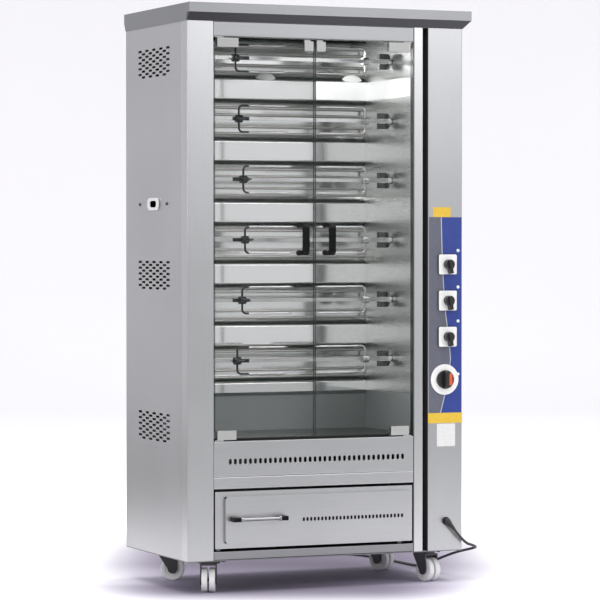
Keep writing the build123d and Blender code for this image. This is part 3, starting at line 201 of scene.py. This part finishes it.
def ring_band(outer, inner):
    """Joins two closed outlines, given as rows of points front and back, into a band."""
    band = bmesh.new()
    loops = [[band.verts.new(point) for point in row] for row in (*outer, *reversed(inner))]
    for near_loop, far_loop in zip(loops, loops[1:] + loops[:1]):
        count = len(near_loop)
        for i in range(count):
            band.faces.new((near_loop[i], near_loop[(i + 1) % count],
                            far_loop[(i + 1) % count], far_loop[i]))
    return band


def stacked(rows):
    """Joins a stack of closed outlines, which may end in a single point, into a closed shape."""
    shape = bmesh.new()
    loops = [[shape.verts.new(point) for point in row] for row in rows]
    for lower, upper in zip(loops, loops[1:]):
        for i in range(len(lower)):
            ahead = (i + 1) % len(lower)
            tips = (upper[0],) if len(upper) == 1 else (upper[ahead], upper[i])
            shape.faces.new((lower[i], lower[ahead], *tips))
    for end in (loops[0], loops[-1]):
        if len(end) > 2:
            shape.faces.new(end)
    return shape


def rounded_outline(width, height, corner, steps=6):
    """Gives the points of a rectangle with round corners about the origin."""
    points = []
    for turn, (side_x, side_y) in enumerate(((1, 1), (-1, 1), (-1, -1), (1, -1))):
        centre_x = side_x * (width / 2 - corner)
        centre_y = side_y * (height / 2 - corner)
        for step in range(steps + 1):
            angle = math.pi / 2 * (turn + step / steps)
            points.append((centre_x + corner * math.cos(angle), centre_y + corner * math.sin(angle)))
    return points


cord_rubber = moulded("cord_rubber", (0.03, 0.03, 0.032), 0.5)
cord_curve.materials.append(cord_rubber)
dress(moulded("gland_plastic", (0.016, 0.016, 0.018), 0.4), "cable_gland", "mains_plug")

# A hook-and-loop strap of black nylon holds the coil together on its left side. It is
# wrapped once round all the turns.
strap_width = 0.014
strap_thickness = 0.0006
strap_corner = 0.004
strap_outside = coil_centre.x - coil_outer_radius - cord_thickness / 2 - strap_thickness
strap_inside = coil_centre.x - coil_inner_radius + cord_thickness / 2 + strap_thickness
strap_top = coil_pitch + cord_thickness + strap_thickness
strap_middle = Vector(((strap_outside + strap_inside) / 2, coil_centre.y, strap_top / 2))


def strap_loop(inset, y):
    """Gives one edge of the strap round the bundled turns."""
    outline = rounded_outline(strap_inside - strap_outside - 2 * inset, strap_top - 2 * inset,
                              strap_corner - inset)
    return [(strap_middle.x + across, y, strap_middle.z + up) for across, up in outline]


strap_ends = (coil_centre.y - strap_width / 2, coil_centre.y + strap_width / 2)
coil_strap = new_piece("coil_strap",
                       ring_band([strap_loop(0, y) for y in strap_ends],
                                 [strap_loop(strap_thickness, y) for y in strap_ends]),
                       moulded("strap_nylon", (0.02, 0.02, 0.024), 0.8, 1500),
                       "cabinet")


# The floor is a seamless white paper sweep that curves up behind the cabinet. It is only the
# stage. A violet shadow is painted on the paper under the cabinet and just in front of it, and
# the paper is grey out of the picture to the front and the left, where the steel mirrors it.
def sweep_paper():
    """Bends a wide sheet of paper up behind the object."""
    mesh = bpy.data.meshes.new("paper_sweep")
    paper = bmesh.new()
    half_width, near, far, bend, height = 16, -12, 10.5, 3, 9
    bend_steps = 12
    bend_angles = [math.pi / 2 * step / bend_steps for step in range(1, bend_steps + 1)]
    profile = [(near, 0), (far, 0)]
    profile += [(far + bend * math.sin(angle), bend * (1 - math.cos(angle)))
                for angle in bend_angles]
    profile.append((far + bend, height))
    rows = [[paper.verts.new((x, y, z)) for x in (-half_width, half_width)] for y, z in profile]
    for low, high in zip(rows, rows[1:]):
        face = paper.faces.new((low[0], low[1], high[1], high[0]))
        face.smooth = True
    paper.to_mesh(mesh)
    paper.free()
    sweep = bpy.data.objects.new("paper_sweep", mesh)
    sweep.rotation_euler = (0, 0, camera_turn)
    bpy.context.scene.collection.objects.link(sweep)
    return sweep


paper_white, nodes, links, shader = new_material("paper_white")
place = nodes.new("ShaderNodeTexCoord")
split = nodes.new("ShaderNodeSeparateXYZ")
fibre = nodes.new("ShaderNodeTexNoise")
fibre.inputs["Scale"].default_value = 0.6
shade = nodes.new("ShaderNodeValToRGB")
shade.color_ramp.elements[0].color = (0.93, 0.92, 0.95, 1)
shade.color_ramp.elements[1].color = (0.97, 0.96, 0.98, 1)
links.new(place.outputs["Object"], fibre.inputs["Vector"])
links.new(place.outputs["Object"], split.inputs["Vector"])
links.new(fibre.outputs["Fac"], shade.inputs["Fac"])


def fade(coordinate, start, end):
    """Gives a soft step along one axis of the paper."""
    step = nodes.new("ShaderNodeMapRange")
    step.interpolation_type = "SMOOTHSTEP"
    step.inputs["From Min"].default_value = start
    step.inputs["From Max"].default_value = end
    links.new(split.outputs[coordinate], step.inputs["Value"])
    return step.outputs["Result"]


def joined(first, second, operation):
    """Combines two factors."""
    join = nodes.new("ShaderNodeMath")
    join.operation = operation
    links.new(first, join.inputs[0])
    links.new(second, join.inputs[1])
    return join.outputs[0]


def tinted(under, factor, tint):
    """Lays a tint over a colour by a factor."""
    mix = nodes.new("ShaderNodeMix")
    mix.data_type = "RGBA"
    mix.inputs[7].default_value = (*tint, 1)
    links.new(factor, mix.inputs[0])
    links.new(under, mix.inputs[6])
    return mix.outputs[2]


paper_tone = shade.outputs["Color"]
painted_shadow_width = joined(fade("X", -0.85, -0.35), fade("X", 0.85, 0.30), "MULTIPLY")
painted_shadow_depth = joined(fade("Y", -0.75, -0.1), fade("Y", 1.7, 0.9), "MULTIPLY")
painted_far_shadow_depth = joined(fade("Y", 0.05, 0.55), fade("Y", 2.2, 1.5), "MULTIPLY")
painted_near_shadow_width = joined(fade("X", -0.75, -0.35), fade("X", 0.62, 0.25), "MULTIPLY")
painted_near_shadow_depth = joined(fade("Y", -0.80, -0.25), fade("Y", -0.05, -0.22), "MULTIPLY")
front_floor = fade("Y", -0.9, -1.7)
left_floor = joined(fade("X", -1.7, -2.4), fade("Y", 6, 3.5), "MULTIPLY")
# The first three tints are the painted violet shadow under and in front of the cabinet.
for shaded, tint in ((joined(painted_shadow_width, painted_shadow_depth, "MULTIPLY"), (0.40, 0.355, 0.48)),
                     (joined(painted_shadow_width, painted_far_shadow_depth, "MULTIPLY"), (0.165, 0.145, 0.20)),
                     (joined(painted_near_shadow_width, painted_near_shadow_depth, "MULTIPLY"), (0.22, 0.195, 0.265)),
                     (front_floor, (0.42, 0.42, 0.425)),
                     (left_floor, (0.22, 0.22, 0.225))):
    paper_tone = tinted(paper_tone, shaded, tint)
links.new(paper_tone, shader.inputs["Base Color"])
shader.inputs["Roughness"].default_value = 0.9
sweep_paper().data.materials.append(paper_white)

# The room is pale, and lighter overhead than at eye level. Three large soft lamps light the
# cabinet, and a small one behind the top rail lights the chamber's right wall.
room = bpy.data.worlds.new("pale_room")
bpy.context.scene.world = room
room.use_nodes = True
room_nodes = room.node_tree.nodes
room_links = room.node_tree.links
room_place = room_nodes.new("ShaderNodeTexCoord")
room_split = room_nodes.new("ShaderNodeSeparateXYZ")
room_shade = room_nodes.new("ShaderNodeValToRGB")
room_shade.color_ramp.elements[0].color = (0.80, 0.80, 0.82, 1)
room_shade.color_ramp.elements[1].position = 0.7
room_shade.color_ramp.elements[1].color = (1.0, 1.0, 1.0, 1)
room_links.new(room_place.outputs["Generated"], room_split.inputs["Vector"])
room_links.new(room_split.outputs["Z"], room_shade.inputs["Fac"])
room_links.new(room_shade.outputs["Color"], room_nodes["Background"].inputs["Color"])
room_nodes["Background"].inputs["Strength"].default_value = 1.0


def hang(name, lamp, place, beam):
    """Hangs a lamp whose beam points in a direction."""
    stand = bpy.data.objects.new(name, lamp)
    stand.location = place
    stand.rotation_euler = beam.to_track_quat("-Z", "Y").to_euler()
    bpy.context.scene.collection.objects.link(stand)


def soft_lamp(name, place, target, width, height, watts):
    """Hangs a large soft lamp that faces a point."""
    lamp = bpy.data.lights.new(name, "AREA")
    lamp.shape = "RECTANGLE"
    lamp.size = width
    lamp.size_y = height
    lamp.energy = watts
    hang(name, lamp, place, Vector(target) - Vector(place))


soft_lamp("front_lamp", (2.6, -5.2, 3.4), (0, 0, 1.2), 2.4, 2.4, 55)
soft_lamp("left_lamp", (-5.5, -1.5, 3.0), (0, 0, 1.0), 2.5, 3.5, 90)
soft_lamp("top_lamp", (0, -0.5, 5.5), (0, 0.0, 0), 5.0, 5.0, 300)
chamber_lamp = bpy.data.lights.new("chamber_lamp", "SPOT")
chamber_lamp.energy = 12
chamber_lamp.spot_size = math.radians(100)
chamber_lamp.spot_blend = 1.0
chamber_lamp.shadow_soft_size = 0.05
chamber_lamp_place = (left + 0.40, front + 0.14, 1.81)
chamber_lamp_beam = Vector((0.43, 0.20, -0.15))
hang("chamber_lamp", chamber_lamp, chamber_lamp_place, chamber_lamp_beam)
bpy.context.scene.view_settings.view_transform = "Standard"


# The cabinet is bent from satin stainless sheet, brushed along its length, with sharp folds.
# The base plate under it is painted grey and carries the casters.
def brushed_steel(name, tint, roughness, along="Z", streak=0.10, cloud=0.04, bump_depth=0.0003):
    """Makes brushed sheet whose fine scratches run along one axis."""
    material, nodes, links, shader = new_material(name)
    place = nodes.new("ShaderNodeTexCoord")
    stretch = nodes.new("ShaderNodeMapping")
    fine, coarse = 1400, 9
    stretch.inputs["Scale"].default_value = [coarse if axis == along else fine for axis in "XYZ"]
    scratches = nodes.new("ShaderNodeTexNoise")
    scratches.inputs["Scale"].default_value = 1
    scratches.inputs["Detail"].default_value = 3
    clouds = nodes.new("ShaderNodeTexNoise")
    clouds.inputs["Scale"].default_value = 2.2
    clouds.inputs["Detail"].default_value = 2
    tone = nodes.new("ShaderNodeMix")
    tone.data_type = "RGBA"
    tone.inputs[6].default_value = (*[v * (1 - streak) for v in tint], 1)
    tone.inputs[7].default_value = (*[min(1, v * (1 + streak)) for v in tint], 1)
    blend = nodes.new("ShaderNodeMix")
    blend.data_type = "RGBA"
    blend.blend_type = "MULTIPLY"
    blend.inputs[0].default_value = 1
    patch = nodes.new("ShaderNodeValToRGB")
    patch.color_ramp.elements[0].position = 0.3
    patch.color_ramp.elements[0].color = (1 - 2 * cloud, 1 - 2 * cloud, 1 - 2 * cloud, 1)
    patch.color_ramp.elements[1].position = 0.7
    patch.color_ramp.elements[1].color = (1, 1, 1, 1)
    rough = nodes.new("ShaderNodeMapRange")
    rough.inputs["To Min"].default_value = roughness * 0.85
    rough.inputs["To Max"].default_value = roughness * 1.15
    links.new(place.outputs["Object"], stretch.inputs["Vector"])
    links.new(stretch.outputs["Vector"], scratches.inputs["Vector"])
    links.new(place.outputs["Object"], clouds.inputs["Vector"])
    links.new(scratches.outputs["Fac"], tone.inputs[0])
    links.new(clouds.outputs["Fac"], patch.inputs["Fac"])
    links.new(tone.outputs[2], blend.inputs[6])
    links.new(patch.outputs["Color"], blend.inputs[7])
    links.new(blend.outputs[2], shader.inputs["Base Color"])
    links.new(scratches.outputs["Fac"], rough.inputs["Value"])
    links.new(rough.outputs["Result"], shader.inputs["Roughness"])
    if bump_depth:
        bump = nodes.new("ShaderNodeBump")
        bump.inputs["Strength"].default_value = 0.06
        bump.inputs["Distance"].default_value = bump_depth
        links.new(scratches.outputs["Fac"], bump.inputs["Height"])
        links.new(bump.outputs["Normal"], shader.inputs["Normal"])
    shader.inputs["Metallic"].default_value = 1
    return material


def cover(material, where, tint, roughness, metal=0.0, soft=0.0001, alpha=1.0):
    """Lays another finish over the part of a material that lies inside limits along X, Y or Z."""
    nodes = material.node_tree.nodes
    links = material.node_tree.links
    shader = nodes["Principled BSDF"]
    place = nodes.new("ShaderNodeTexCoord")
    split = nodes.new("ShaderNodeSeparateXYZ")
    links.new(place.outputs["Object"], split.inputs["Vector"])
    inside = None
    for axis, (low, high) in where.items():
        aside = nodes.new("ShaderNodeMath")
        aside.operation = "SUBTRACT"
        aside.inputs[1].default_value = (low + high) / 2
        off = nodes.new("ShaderNodeMath")
        off.operation = "ABSOLUTE"
        within = nodes.new("ShaderNodeMapRange")
        within.inputs["From Min"].default_value = (high - low + soft) / 2
        within.inputs["From Max"].default_value = (high - low - soft) / 2
        links.new(split.outputs[axis], aside.inputs[0])
        links.new(aside.outputs[0], off.inputs[0])
        links.new(off.outputs[0], within.inputs["Value"])
        if inside is not None:
            both = nodes.new("ShaderNodeMath")
            both.operation = "MULTIPLY"
            links.new(inside, both.inputs[0])
            links.new(within.outputs[0], both.inputs[1])
            within = both
        inside = within.outputs[0]
    covered = {"Base Color": (*tint, 1), "Roughness": roughness, "Metallic": metal, "Alpha": alpha}
    for name, value in covered.items():
        choose = nodes.new("ShaderNodeMix")
        choose.data_type = "RGBA" if name == "Base Color" else "FLOAT"
        under, over, result = (6, 7, 2) if name == "Base Color" else (2, 3, 0)
        socket = shader.inputs[name]
        if socket.links:
            links.new(socket.links[0].from_socket, choose.inputs[under])
        else:
            choose.inputs[under].default_value = socket.default_value
        choose.inputs[over].default_value = value
        links.new(inside, choose.inputs[0])
        links.new(choose.outputs[result], socket)


def across(x):
    """Gives the place of a distance from the cabinet's left side."""
    return left + x


def deep(y):
    """Gives the place of a distance behind the front plane."""
    return front + y


steel_tint = (0.46, 0.465, 0.475)
upright_steel = brushed_steel("upright_brushed_steel", steel_tint, 0.33, along="Z")
dress(upright_steel, "left_side_panel", "right_side_panel", "rear_panel")
dress(moulded("base_paint", (0.16, 0.16, 0.17), 0.5, 300), "base_pan")

# The front pillars are folded from the same sheet. Their steel is painted brighter than the
# side panels' as a painted highlight, the right one's most. The right one's edge beside the
# doors is painted dark as shade.
pillar_steel = brushed_steel("pillar_brushed_steel", (0.50, 0.505, 0.515), 0.30, along="Z")
edge_pillar_steel = brushed_steel("edge_pillar_steel", (0.56, 0.565, 0.575), 0.30, along="Z")
shaded_edge = (across(0.800), across(0.812))
cover(edge_pillar_steel, {"X": shaded_edge}, (0.14, 0.14, 0.145), 0.3, 1.0)
dress(pillar_steel, "left_front_pillar")
dress(edge_pillar_steel, "right_front_pillar")

# The panel under the doors is folded back at its top and bottom and has a row of upright
# slots. Its top fold is painted black as the shade of the doors.
panel_steel = brushed_steel("panel_brushed_steel", steel_tint, 0.33, along="X")
panel_top_fold = (0.4936, 0.52)
cover(panel_steel, {"Z": panel_top_fold}, (0.008, 0.008, 0.008), 1.0)
dress(panel_steel, "lower_front_panel")

# Three folded rails tie the pillars together. The one under the drawer and the one over the
# doors are painted darker as the shade of the pieces above them.
rail_steel = brushed_steel("rail_brushed_steel", steel_tint, 0.33, along="X")
rail_under_drawer = (0.109, 0.137)
rail_over_doors = (1.79, 1.90)
cover(rail_steel, {"Z": rail_under_drawer}, (0.26, 0.26, 0.27), 0.35, 1.0)
cover(rail_steel, {"Z": rail_over_doors}, (0.30, 0.305, 0.315), 0.33, 1.0)
dress(rail_steel, "front_rails")

# The canopy is a hood folded from steel sheet, and overhangs the front, the right and the
# rear. Its upright lip is satin grey, and the slope under the lip is painted dark as shade.
canopy_steel = brushed_steel("canopy_brushed_steel", (0.24, 0.245, 0.255), 0.3, along="X")
slope_heights = (1.8535, 1.8798)
slope_depths = (front - 0.05, front + 0.001)
cover(canopy_steel, {"Z": slope_heights, "Y": slope_depths}, (0.055, 0.055, 0.06), 0.25, 1.0)
dress(canopy_steel, "top_canopy")

# The grease drawer is a folded tray behind a steel front with a raised field. The field has a
# row of upright slots, and everything behind the field's face is painted black as shade.
drawer_steel = brushed_steel("drawer_brushed_steel", steel_tint, 0.33, along="X")
field_widths = (across(0.129), across(0.795))
field_depths = (front - 0.0105, front + 0.03)
field_heights = (0.163, 0.314)
cover(drawer_steel, {"X": field_widths, "Y": field_depths, "Z": field_heights},
      (0.01, 0.01, 0.011), 0.7)
dress(drawer_steel, "drawer_tray")

# The right pillar stands a little in front of the control column's steel sheet, and the
# joint between them is a deep groove whose sheet is painted near black as shade.
column_steel = brushed_steel("column_brushed_steel", steel_tint, 0.33, along="Z")
groove = (across(0.80), across(0.863))
cover(column_steel, {"X": groove}, (0.012, 0.012, 0.013), 0.7)
dress(column_steel, "column_front")

# The cooking chamber is lined with bright-rolled stainless sheet. The rear reflector is one
# sheet folded into flat bands and deep troughs, painted a little darker inside the troughs as
# shade. Where the chamber's lamp falls, the first band and the wall beside it are painted white
# and matt as a painted highlight, and the folds are painted dark as shade. Below the spits the
# reflector and the walls are painted darker as shade. The ceiling and the floor are darker
# painted copies of the lining as shade, the floor darkest in the doors' shade at the front. The
# walls' front flanges carry a painted highlight line beside a painted shade line.
bright_steel = brushed_steel("bright_chamber_steel", (0.90, 0.905, 0.90), 0.09, along="X",
                             streak=0.03, cloud=0.01, bump_depth=0)
ceiling_steel = brushed_steel("chamber_ceiling_steel", (0.30, 0.30, 0.30), 0.25, along="X",
                              streak=0.05, bump_depth=0)
wall_steel = brushed_steel("chamber_wall_steel", (0.80, 0.81, 0.80), 0.28, along="Y",
                           streak=0.04, cloud=0.02, bump_depth=0)
floor_steel = brushed_steel("chamber_floor_steel", (0.12, 0.125, 0.125), 0.3, along="X",
                            bump_depth=0)
troughs = (deep(0.425), deep(0.6))
band_folds = (deep(0.4165), deep(0.436))
first_band = (1.629, 1.691)
first_band_lit = (across(0.637), across(0.84))
under_spits = (0.4, 0.630)
flange_back = (deep(0.0225), deep(0.0235))
flange_front = (deep(0.0215), deep(0.0225))
door_shade = (deep(0.02), deep(0.07))
lamp_lit = (0.96, 0.97, 0.96)
# The covers below paint shade and highlights onto the lining.
cover(bright_steel, {"Y": troughs}, (0.80, 0.81, 0.80), 0.12, 1.0)
cover(bright_steel, {"X": first_band_lit, "Z": first_band}, lamp_lit, 0.5)
cover(bright_steel, {"Y": band_folds}, (0.05, 0.05, 0.05), 0.15, 1.0, soft=0.008)
cover(bright_steel, {"Z": under_spits}, (0.25, 0.265, 0.265), 0.4, 0.4)
cover(wall_steel, {"Z": under_spits}, (0.42, 0.44, 0.44), 0.4, 0.4)
cover(wall_steel, {"Z": first_band}, lamp_lit, 0.5, soft=0.004)
cover(wall_steel, {"Y": flange_back}, (0.86, 0.87, 0.86), 0.5)
cover(wall_steel, {"Y": flange_front}, (0.03, 0.03, 0.03), 0.5)
cover(floor_steel, {"Y": door_shade}, (0.008, 0.008, 0.008), 1.0)
dress(bright_steel, "rear_reflectors")
dress(ceiling_steel, "chamber_ceiling")
dress(wall_steel, "chamber_side_walls")
dress(floor_steel, "chamber_floor")

# Each heating element is a mineral-filled steel tube bent into a hairpin. It stays a dull
# warm grey where it has glowed.
dress(brushed_steel("heated_tube_steel", (0.40, 0.385, 0.37), 0.28, along="X", streak=0.2),
      "heating_elements")

# The spits are square bars with two-pronged forks clamped by wing screws. Their sockets,
# shafts and bearings carry the drive through the right wall. The left forks are painted near
# black, and the sockets' loops carry a painted highlight.
spit_steel = brushed_steel("spit_steel", (0.55, 0.55, 0.555), 0.25, along="X", streak=0.15)
left_forks = (across(0.244), across(0.304))
cover(spit_steel, {"X": left_forks}, (0.03, 0.03, 0.032), 0.3, 1.0)
spit_numbers = range(1, 7)
dress(spit_steel, *[f"spit_{number}" for number in spit_numbers])
socket_steel = brushed_steel("socket_steel", (0.10, 0.10, 0.102), 0.3, along="Y", streak=0.2)
lowest_spit = 0.746
spit_spacing = 0.201
socket_loops = (across(0.78), across(0.83))
loop_reach = 0.008
# A painted highlight is laid on each socket's loop at its spit's height.
for number in spit_numbers:
    height = lowest_spit + spit_spacing * (number - 1)
    cover(socket_steel, {"X": socket_loops, "Z": (height - loop_reach, height + loop_reach)},
          (0.75, 0.75, 0.74), 0.3, 1.0)
dress(socket_steel, *[f"drive_shaft_{number}" for number in spit_numbers], "motor_sprocket",
      "spit_bearings", "drive_chain", "gear_motor")

# Two round lamps light the chamber. Only the upper halves of their frosted lenses show over
# the first band of the reflector.
lens_radius = 0.049
lens_swell = 0.018
lens_height = 1.670
lens_depth = 0.428
lens_rings = 5
lens_spokes = 32


def full_turn(spokes):
    """Gives evenly spaced angles round a circle."""
    return [2 * math.pi * spoke / spokes for spoke in range(spokes)]


def chamber_lens(name, x):
    """Domes a shallow round lens that stands on the reflector's band."""
    rows = []
    for ring in range(lens_rings):
        slope = math.pi / 2 * ring / lens_rings
        ring_radius = lens_radius * math.cos(slope)
        ring_y = deep(lens_depth) - lens_swell * math.sin(slope)
        rows.append([(across(x) + ring_radius * math.cos(turn), ring_y,
                      lens_height + ring_radius * math.sin(turn)) for turn in full_turn(lens_spokes)])
    rows.append([(across(x), deep(lens_depth) - lens_swell, lens_height)])
    piece = new_piece(name, stacked(rows), lens_glass, "cabinet")
    for face in piece.data.polygons:
        face.use_smooth = len(face.vertices) < 5


lens_glass = moulded("frosted_lens", (0.82, 0.83, 0.80), 0.25, 250)
chamber_lens("left_chamber_lens", 0.455)
chamber_lens("right_chamber_lens", 0.779)

# The doors are 6 mm toughened glass with a faint green edge, hung on satin patch fittings.
# Each has a black moulded bow handle. The edges at the seam and at the left hinge look dark.
door_glass, nodes, links, shader = new_material("door_glass")
place = nodes.new("ShaderNodeTexCoord")
film = nodes.new("ShaderNodeTexNoise")
film.inputs["Scale"].default_value = 3
film.inputs["Detail"].default_value = 3
haze = nodes.new("ShaderNodeValToRGB")
haze.color_ramp.elements[0].color = (0.10, 0.13, 0.12, 1)
haze.color_ramp.elements[1].color = (0.16, 0.20, 0.18, 1)
links.new(place.outputs["Object"], film.inputs["Vector"])
links.new(film.outputs["Fac"], haze.inputs["Fac"])
links.new(haze.outputs["Color"], shader.inputs["Base Color"])
shader.inputs["Roughness"].default_value = 0.02
shader.inputs["Alpha"].default_value = 0.05
edge_green = (0.03, 0.045, 0.04)
seam_edges = (across(0.449), across(0.457))
left_hinge_edge = (across(0.096), across(0.100))
cover(door_glass, {"X": seam_edges}, edge_green, 0.1, alpha=0.8)
cover(door_glass, {"X": left_hinge_edge}, edge_green, 0.1, alpha=0.6)
dress(door_glass, "left_door_glass", "right_door_glass")
fitting_steel = brushed_steel("fitting_steel", (0.58, 0.58, 0.575), 0.3, along="X", streak=0.06)
# The fittings at the top are painted darker as shade, against the front lamp's reflection.
top_fittings = (1.7, 1.9)
cover(fitting_steel, {"Z": top_fittings}, (0.30, 0.30, 0.30), 0.3, 1.0)
dress(fitting_steel, "left_door_fittings", "right_door_fittings", "door_pivots")
handle_black = moulded("handle_black", (0.004, 0.004, 0.0045), 0.25, 300)
handle_black.node_tree.nodes["Principled BSDF"].inputs["Specular IOR Level"].default_value = 0.12
dress(handle_black, "left_door_handle", "right_door_handle")

# The drawer's handle is a round steel bar between black moulded end blocks that stand on the
# drawer's front. The tray slides on two steel bars with feet on the base plate.
drawer_black = moulded("drawer_handle_black", (0.004, 0.004, 0.0045), 0.3, 500)
drawer_black.node_tree.nodes["Principled BSDF"].inputs["Specular IOR Level"].default_value = 0.12
handle_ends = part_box("drawer_handle")
handle_block = 0.024
handle_bar = (handle_ends[0].x + handle_block, handle_ends[1].x - handle_block)
cover(drawer_black, {"X": handle_bar}, (0.30, 0.30, 0.31), 0.25, 1.0)
dress(drawer_black, "drawer_handle")
dress(brushed_steel("runner_steel", (0.5, 0.5, 0.5), 0.4, along="Y"), "drawer_runners")

# The control column's face wears a printed film, grey-violet on its left and blue on its
# right, with a yellow sticker over it, a yellow strip and a blank white label under it.
film_thickness = 0.0004


def column_film(name, outline, layer, material):
    """Sticks a thin film with the given outline, across and up, on the column's face."""
    rows = [[(across(x), y, z) for x, z in outline]
            for y in (front - layer * film_thickness, front)]
    new_piece(name, stacked(rows), material, "cabinet")


def rounded_film(x_from, x_to, z_from, z_to, corner=0.002):
    """Gives a film's outline as a rectangle with round corners."""
    return [((x_from + x_to) / 2 + x, (z_from + z_to) / 2 + z)
            for x, z in rounded_outline(x_to - x_from, z_to - z_from, corner)]


film_grey = moulded("film_grey", (0.105, 0.11, 0.145), 0.35, 60)
film_line = moulded("film_line", (0.45, 0.46, 0.50), 0.35, 60)
film_blue = moulded("film_blue", (0.020, 0.044, 0.235), 0.3, 60)
film_yellow = moulded("film_yellow", (0.66, 0.43, 0.035), 0.4, 120)
label_white = moulded("label_white", (0.64, 0.64, 0.635), 0.45, 200)
film_left, film_right, film_low, film_high = 0.866, 0.988, 0.569, 1.224
film_margin = 0.001
blue_right, blue_low, blue_high = film_right - film_margin, film_low + film_margin, film_high - film_margin
blue_edge = [(0.913, blue_high), (0.916, 1.12), (0.920, 1.02), (0.930, 0.90), (0.944, 0.80),
             (0.948, 0.75), (0.941, 0.69), (0.927, 0.63), (0.911, blue_low)]
line_width = 0.003
line_edge = [(x - line_width, z) for x, z in blue_edge]
column_film("control_film", rounded_film(film_left, film_right, film_low, film_high), 1, film_grey)
column_film("control_film_line", [(blue_right, blue_high), *line_edge, (blue_right, blue_low)], 1.25,
            film_line)
column_film("control_film_blue", [(blue_right, blue_high), *blue_edge, (blue_right, blue_low)], 1.5,
            film_blue)
column_film("yellow_strip", rounded_film(0.863, 0.990, 0.535, film_low), 1.2, film_yellow)
column_film("yellow_sticker", rounded_film(0.881, 0.947, film_high, 1.257), 1, film_yellow)
column_film("blank_label", rounded_film(0.896, 0.964, 0.457, 0.533), 1, label_white)

# The three switches have white moulded plates with black sides, and the thermostat a plain
# white ring. Their knobs are black, and the thermostat's shows an orange-red patch. Four
# clear pilot lamps stand beside them.
plate_white = moulded("plate_white", (0.80, 0.80, 0.79), 0.35, 700)
plate_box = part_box("dial_plates")
plate_skin = 0.0015
plate_sides = (plate_box[0].y + plate_skin, plate_box[1].y)
switch_heights = (0.76, 1.2)
cover(plate_white, {"Y": plate_sides, "Z": switch_heights}, (0.03, 0.03, 0.032), 0.4)
dress(plate_white, "dial_plates")
knob_black = moulded("knob_black", (0.013, 0.013, 0.014), 0.3, 600)
dress(knob_black, "switch_knob_1", "switch_knob_2", "switch_knob_3")
thermostat_black = moulded("thermostat_black", (0.013, 0.013, 0.014), 0.3, 600)
patch_widths = (across(0.929), across(0.949))
patch_heights = (0.662, 0.702)
cover(thermostat_black, {"X": patch_widths, "Z": patch_heights}, (0.62, 0.09, 0.02), 0.35)
dress(thermostat_black, "thermostat_knob")
dress(moulded("lamp_clear", (0.72, 0.78, 0.88), 0.15, 400), "pilot_lamps")

# Each side panel has a pull grip between two small screws. It is a slot in the steel, framed
# by a pale moulded rim that stands on the panel.
grip_height = 1.266
grip_centre = 0.300
rim_width, rim_height, rim_depth = 0.104, 0.040, 0.003
hole_width, hole_height = 0.060, 0.022


def grip_rim(name, face_x, way):
    """Frames a side panel's slot with a flat oval rim that stands on the panel."""
    def oval(width, height, x):
        return [(x, deep(grip_centre) + y, grip_height + z)
                for y, z in rounded_outline(width, height, height / 2 - 0.0001, 10)]
    stands = (face_x, face_x + way * rim_depth)
    new_piece(name, ring_band([oval(rim_width, rim_height, x) for x in stands],
                              [oval(hole_width, hole_height, x) for x in stands]),
              label_white, "cabinet")


def screw_head(name, face_x, way, y, z):
    """Domes a small screw head on a side panel."""
    radius, height, spokes = 0.0055, 0.0028, 20
    rows = [[(face_x + way * height * rise, deep(y) + radius * spread * math.cos(turn),
              z + radius * spread * math.sin(turn)) for turn in full_turn(spokes)]
            for rise, spread in ((0, 1), (0.5, 0.94), (0.85, 0.72), (1, 0.4))]
    new_piece(name, stacked(rows), screw_zinc, "cabinet")


screw_zinc = brushed_steel("screw_zinc", (0.10, 0.10, 0.11), 0.4, along="X", streak=0.2)
screw_depths = (0.182, 0.430)
for side, corner, way in (("left", 0, -1), ("right", 1, 1)):
    panel_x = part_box(f"{side}_side_panel")[corner].x
    grip_rim(f"{side}_grip_rim", panel_x, way)
    for row, screw_y in enumerate(screw_depths, start=1):
        screw_head(f"{side}_grip_screw_{row}", panel_x, way, screw_y, grip_height)

# The casters have black pressed forks under plates bolted to the base, and white nylon twin
# wheels on a through axle. They have no brakes.
corners = ("front_left", "front_right", "rear_left", "rear_right")
fork_paint = moulded("fork_paint", (0.03, 0.03, 0.035), 0.35, 400)
dress(fork_paint, "caster_plates", *[f"caster_swivel_{corner}" for corner in corners])
wheel_white = moulded("wheel_white", (0.80, 0.80, 0.79), 0.4, 500)
dress(wheel_white, *[f"caster_wheels_{corner}" for corner in corners])
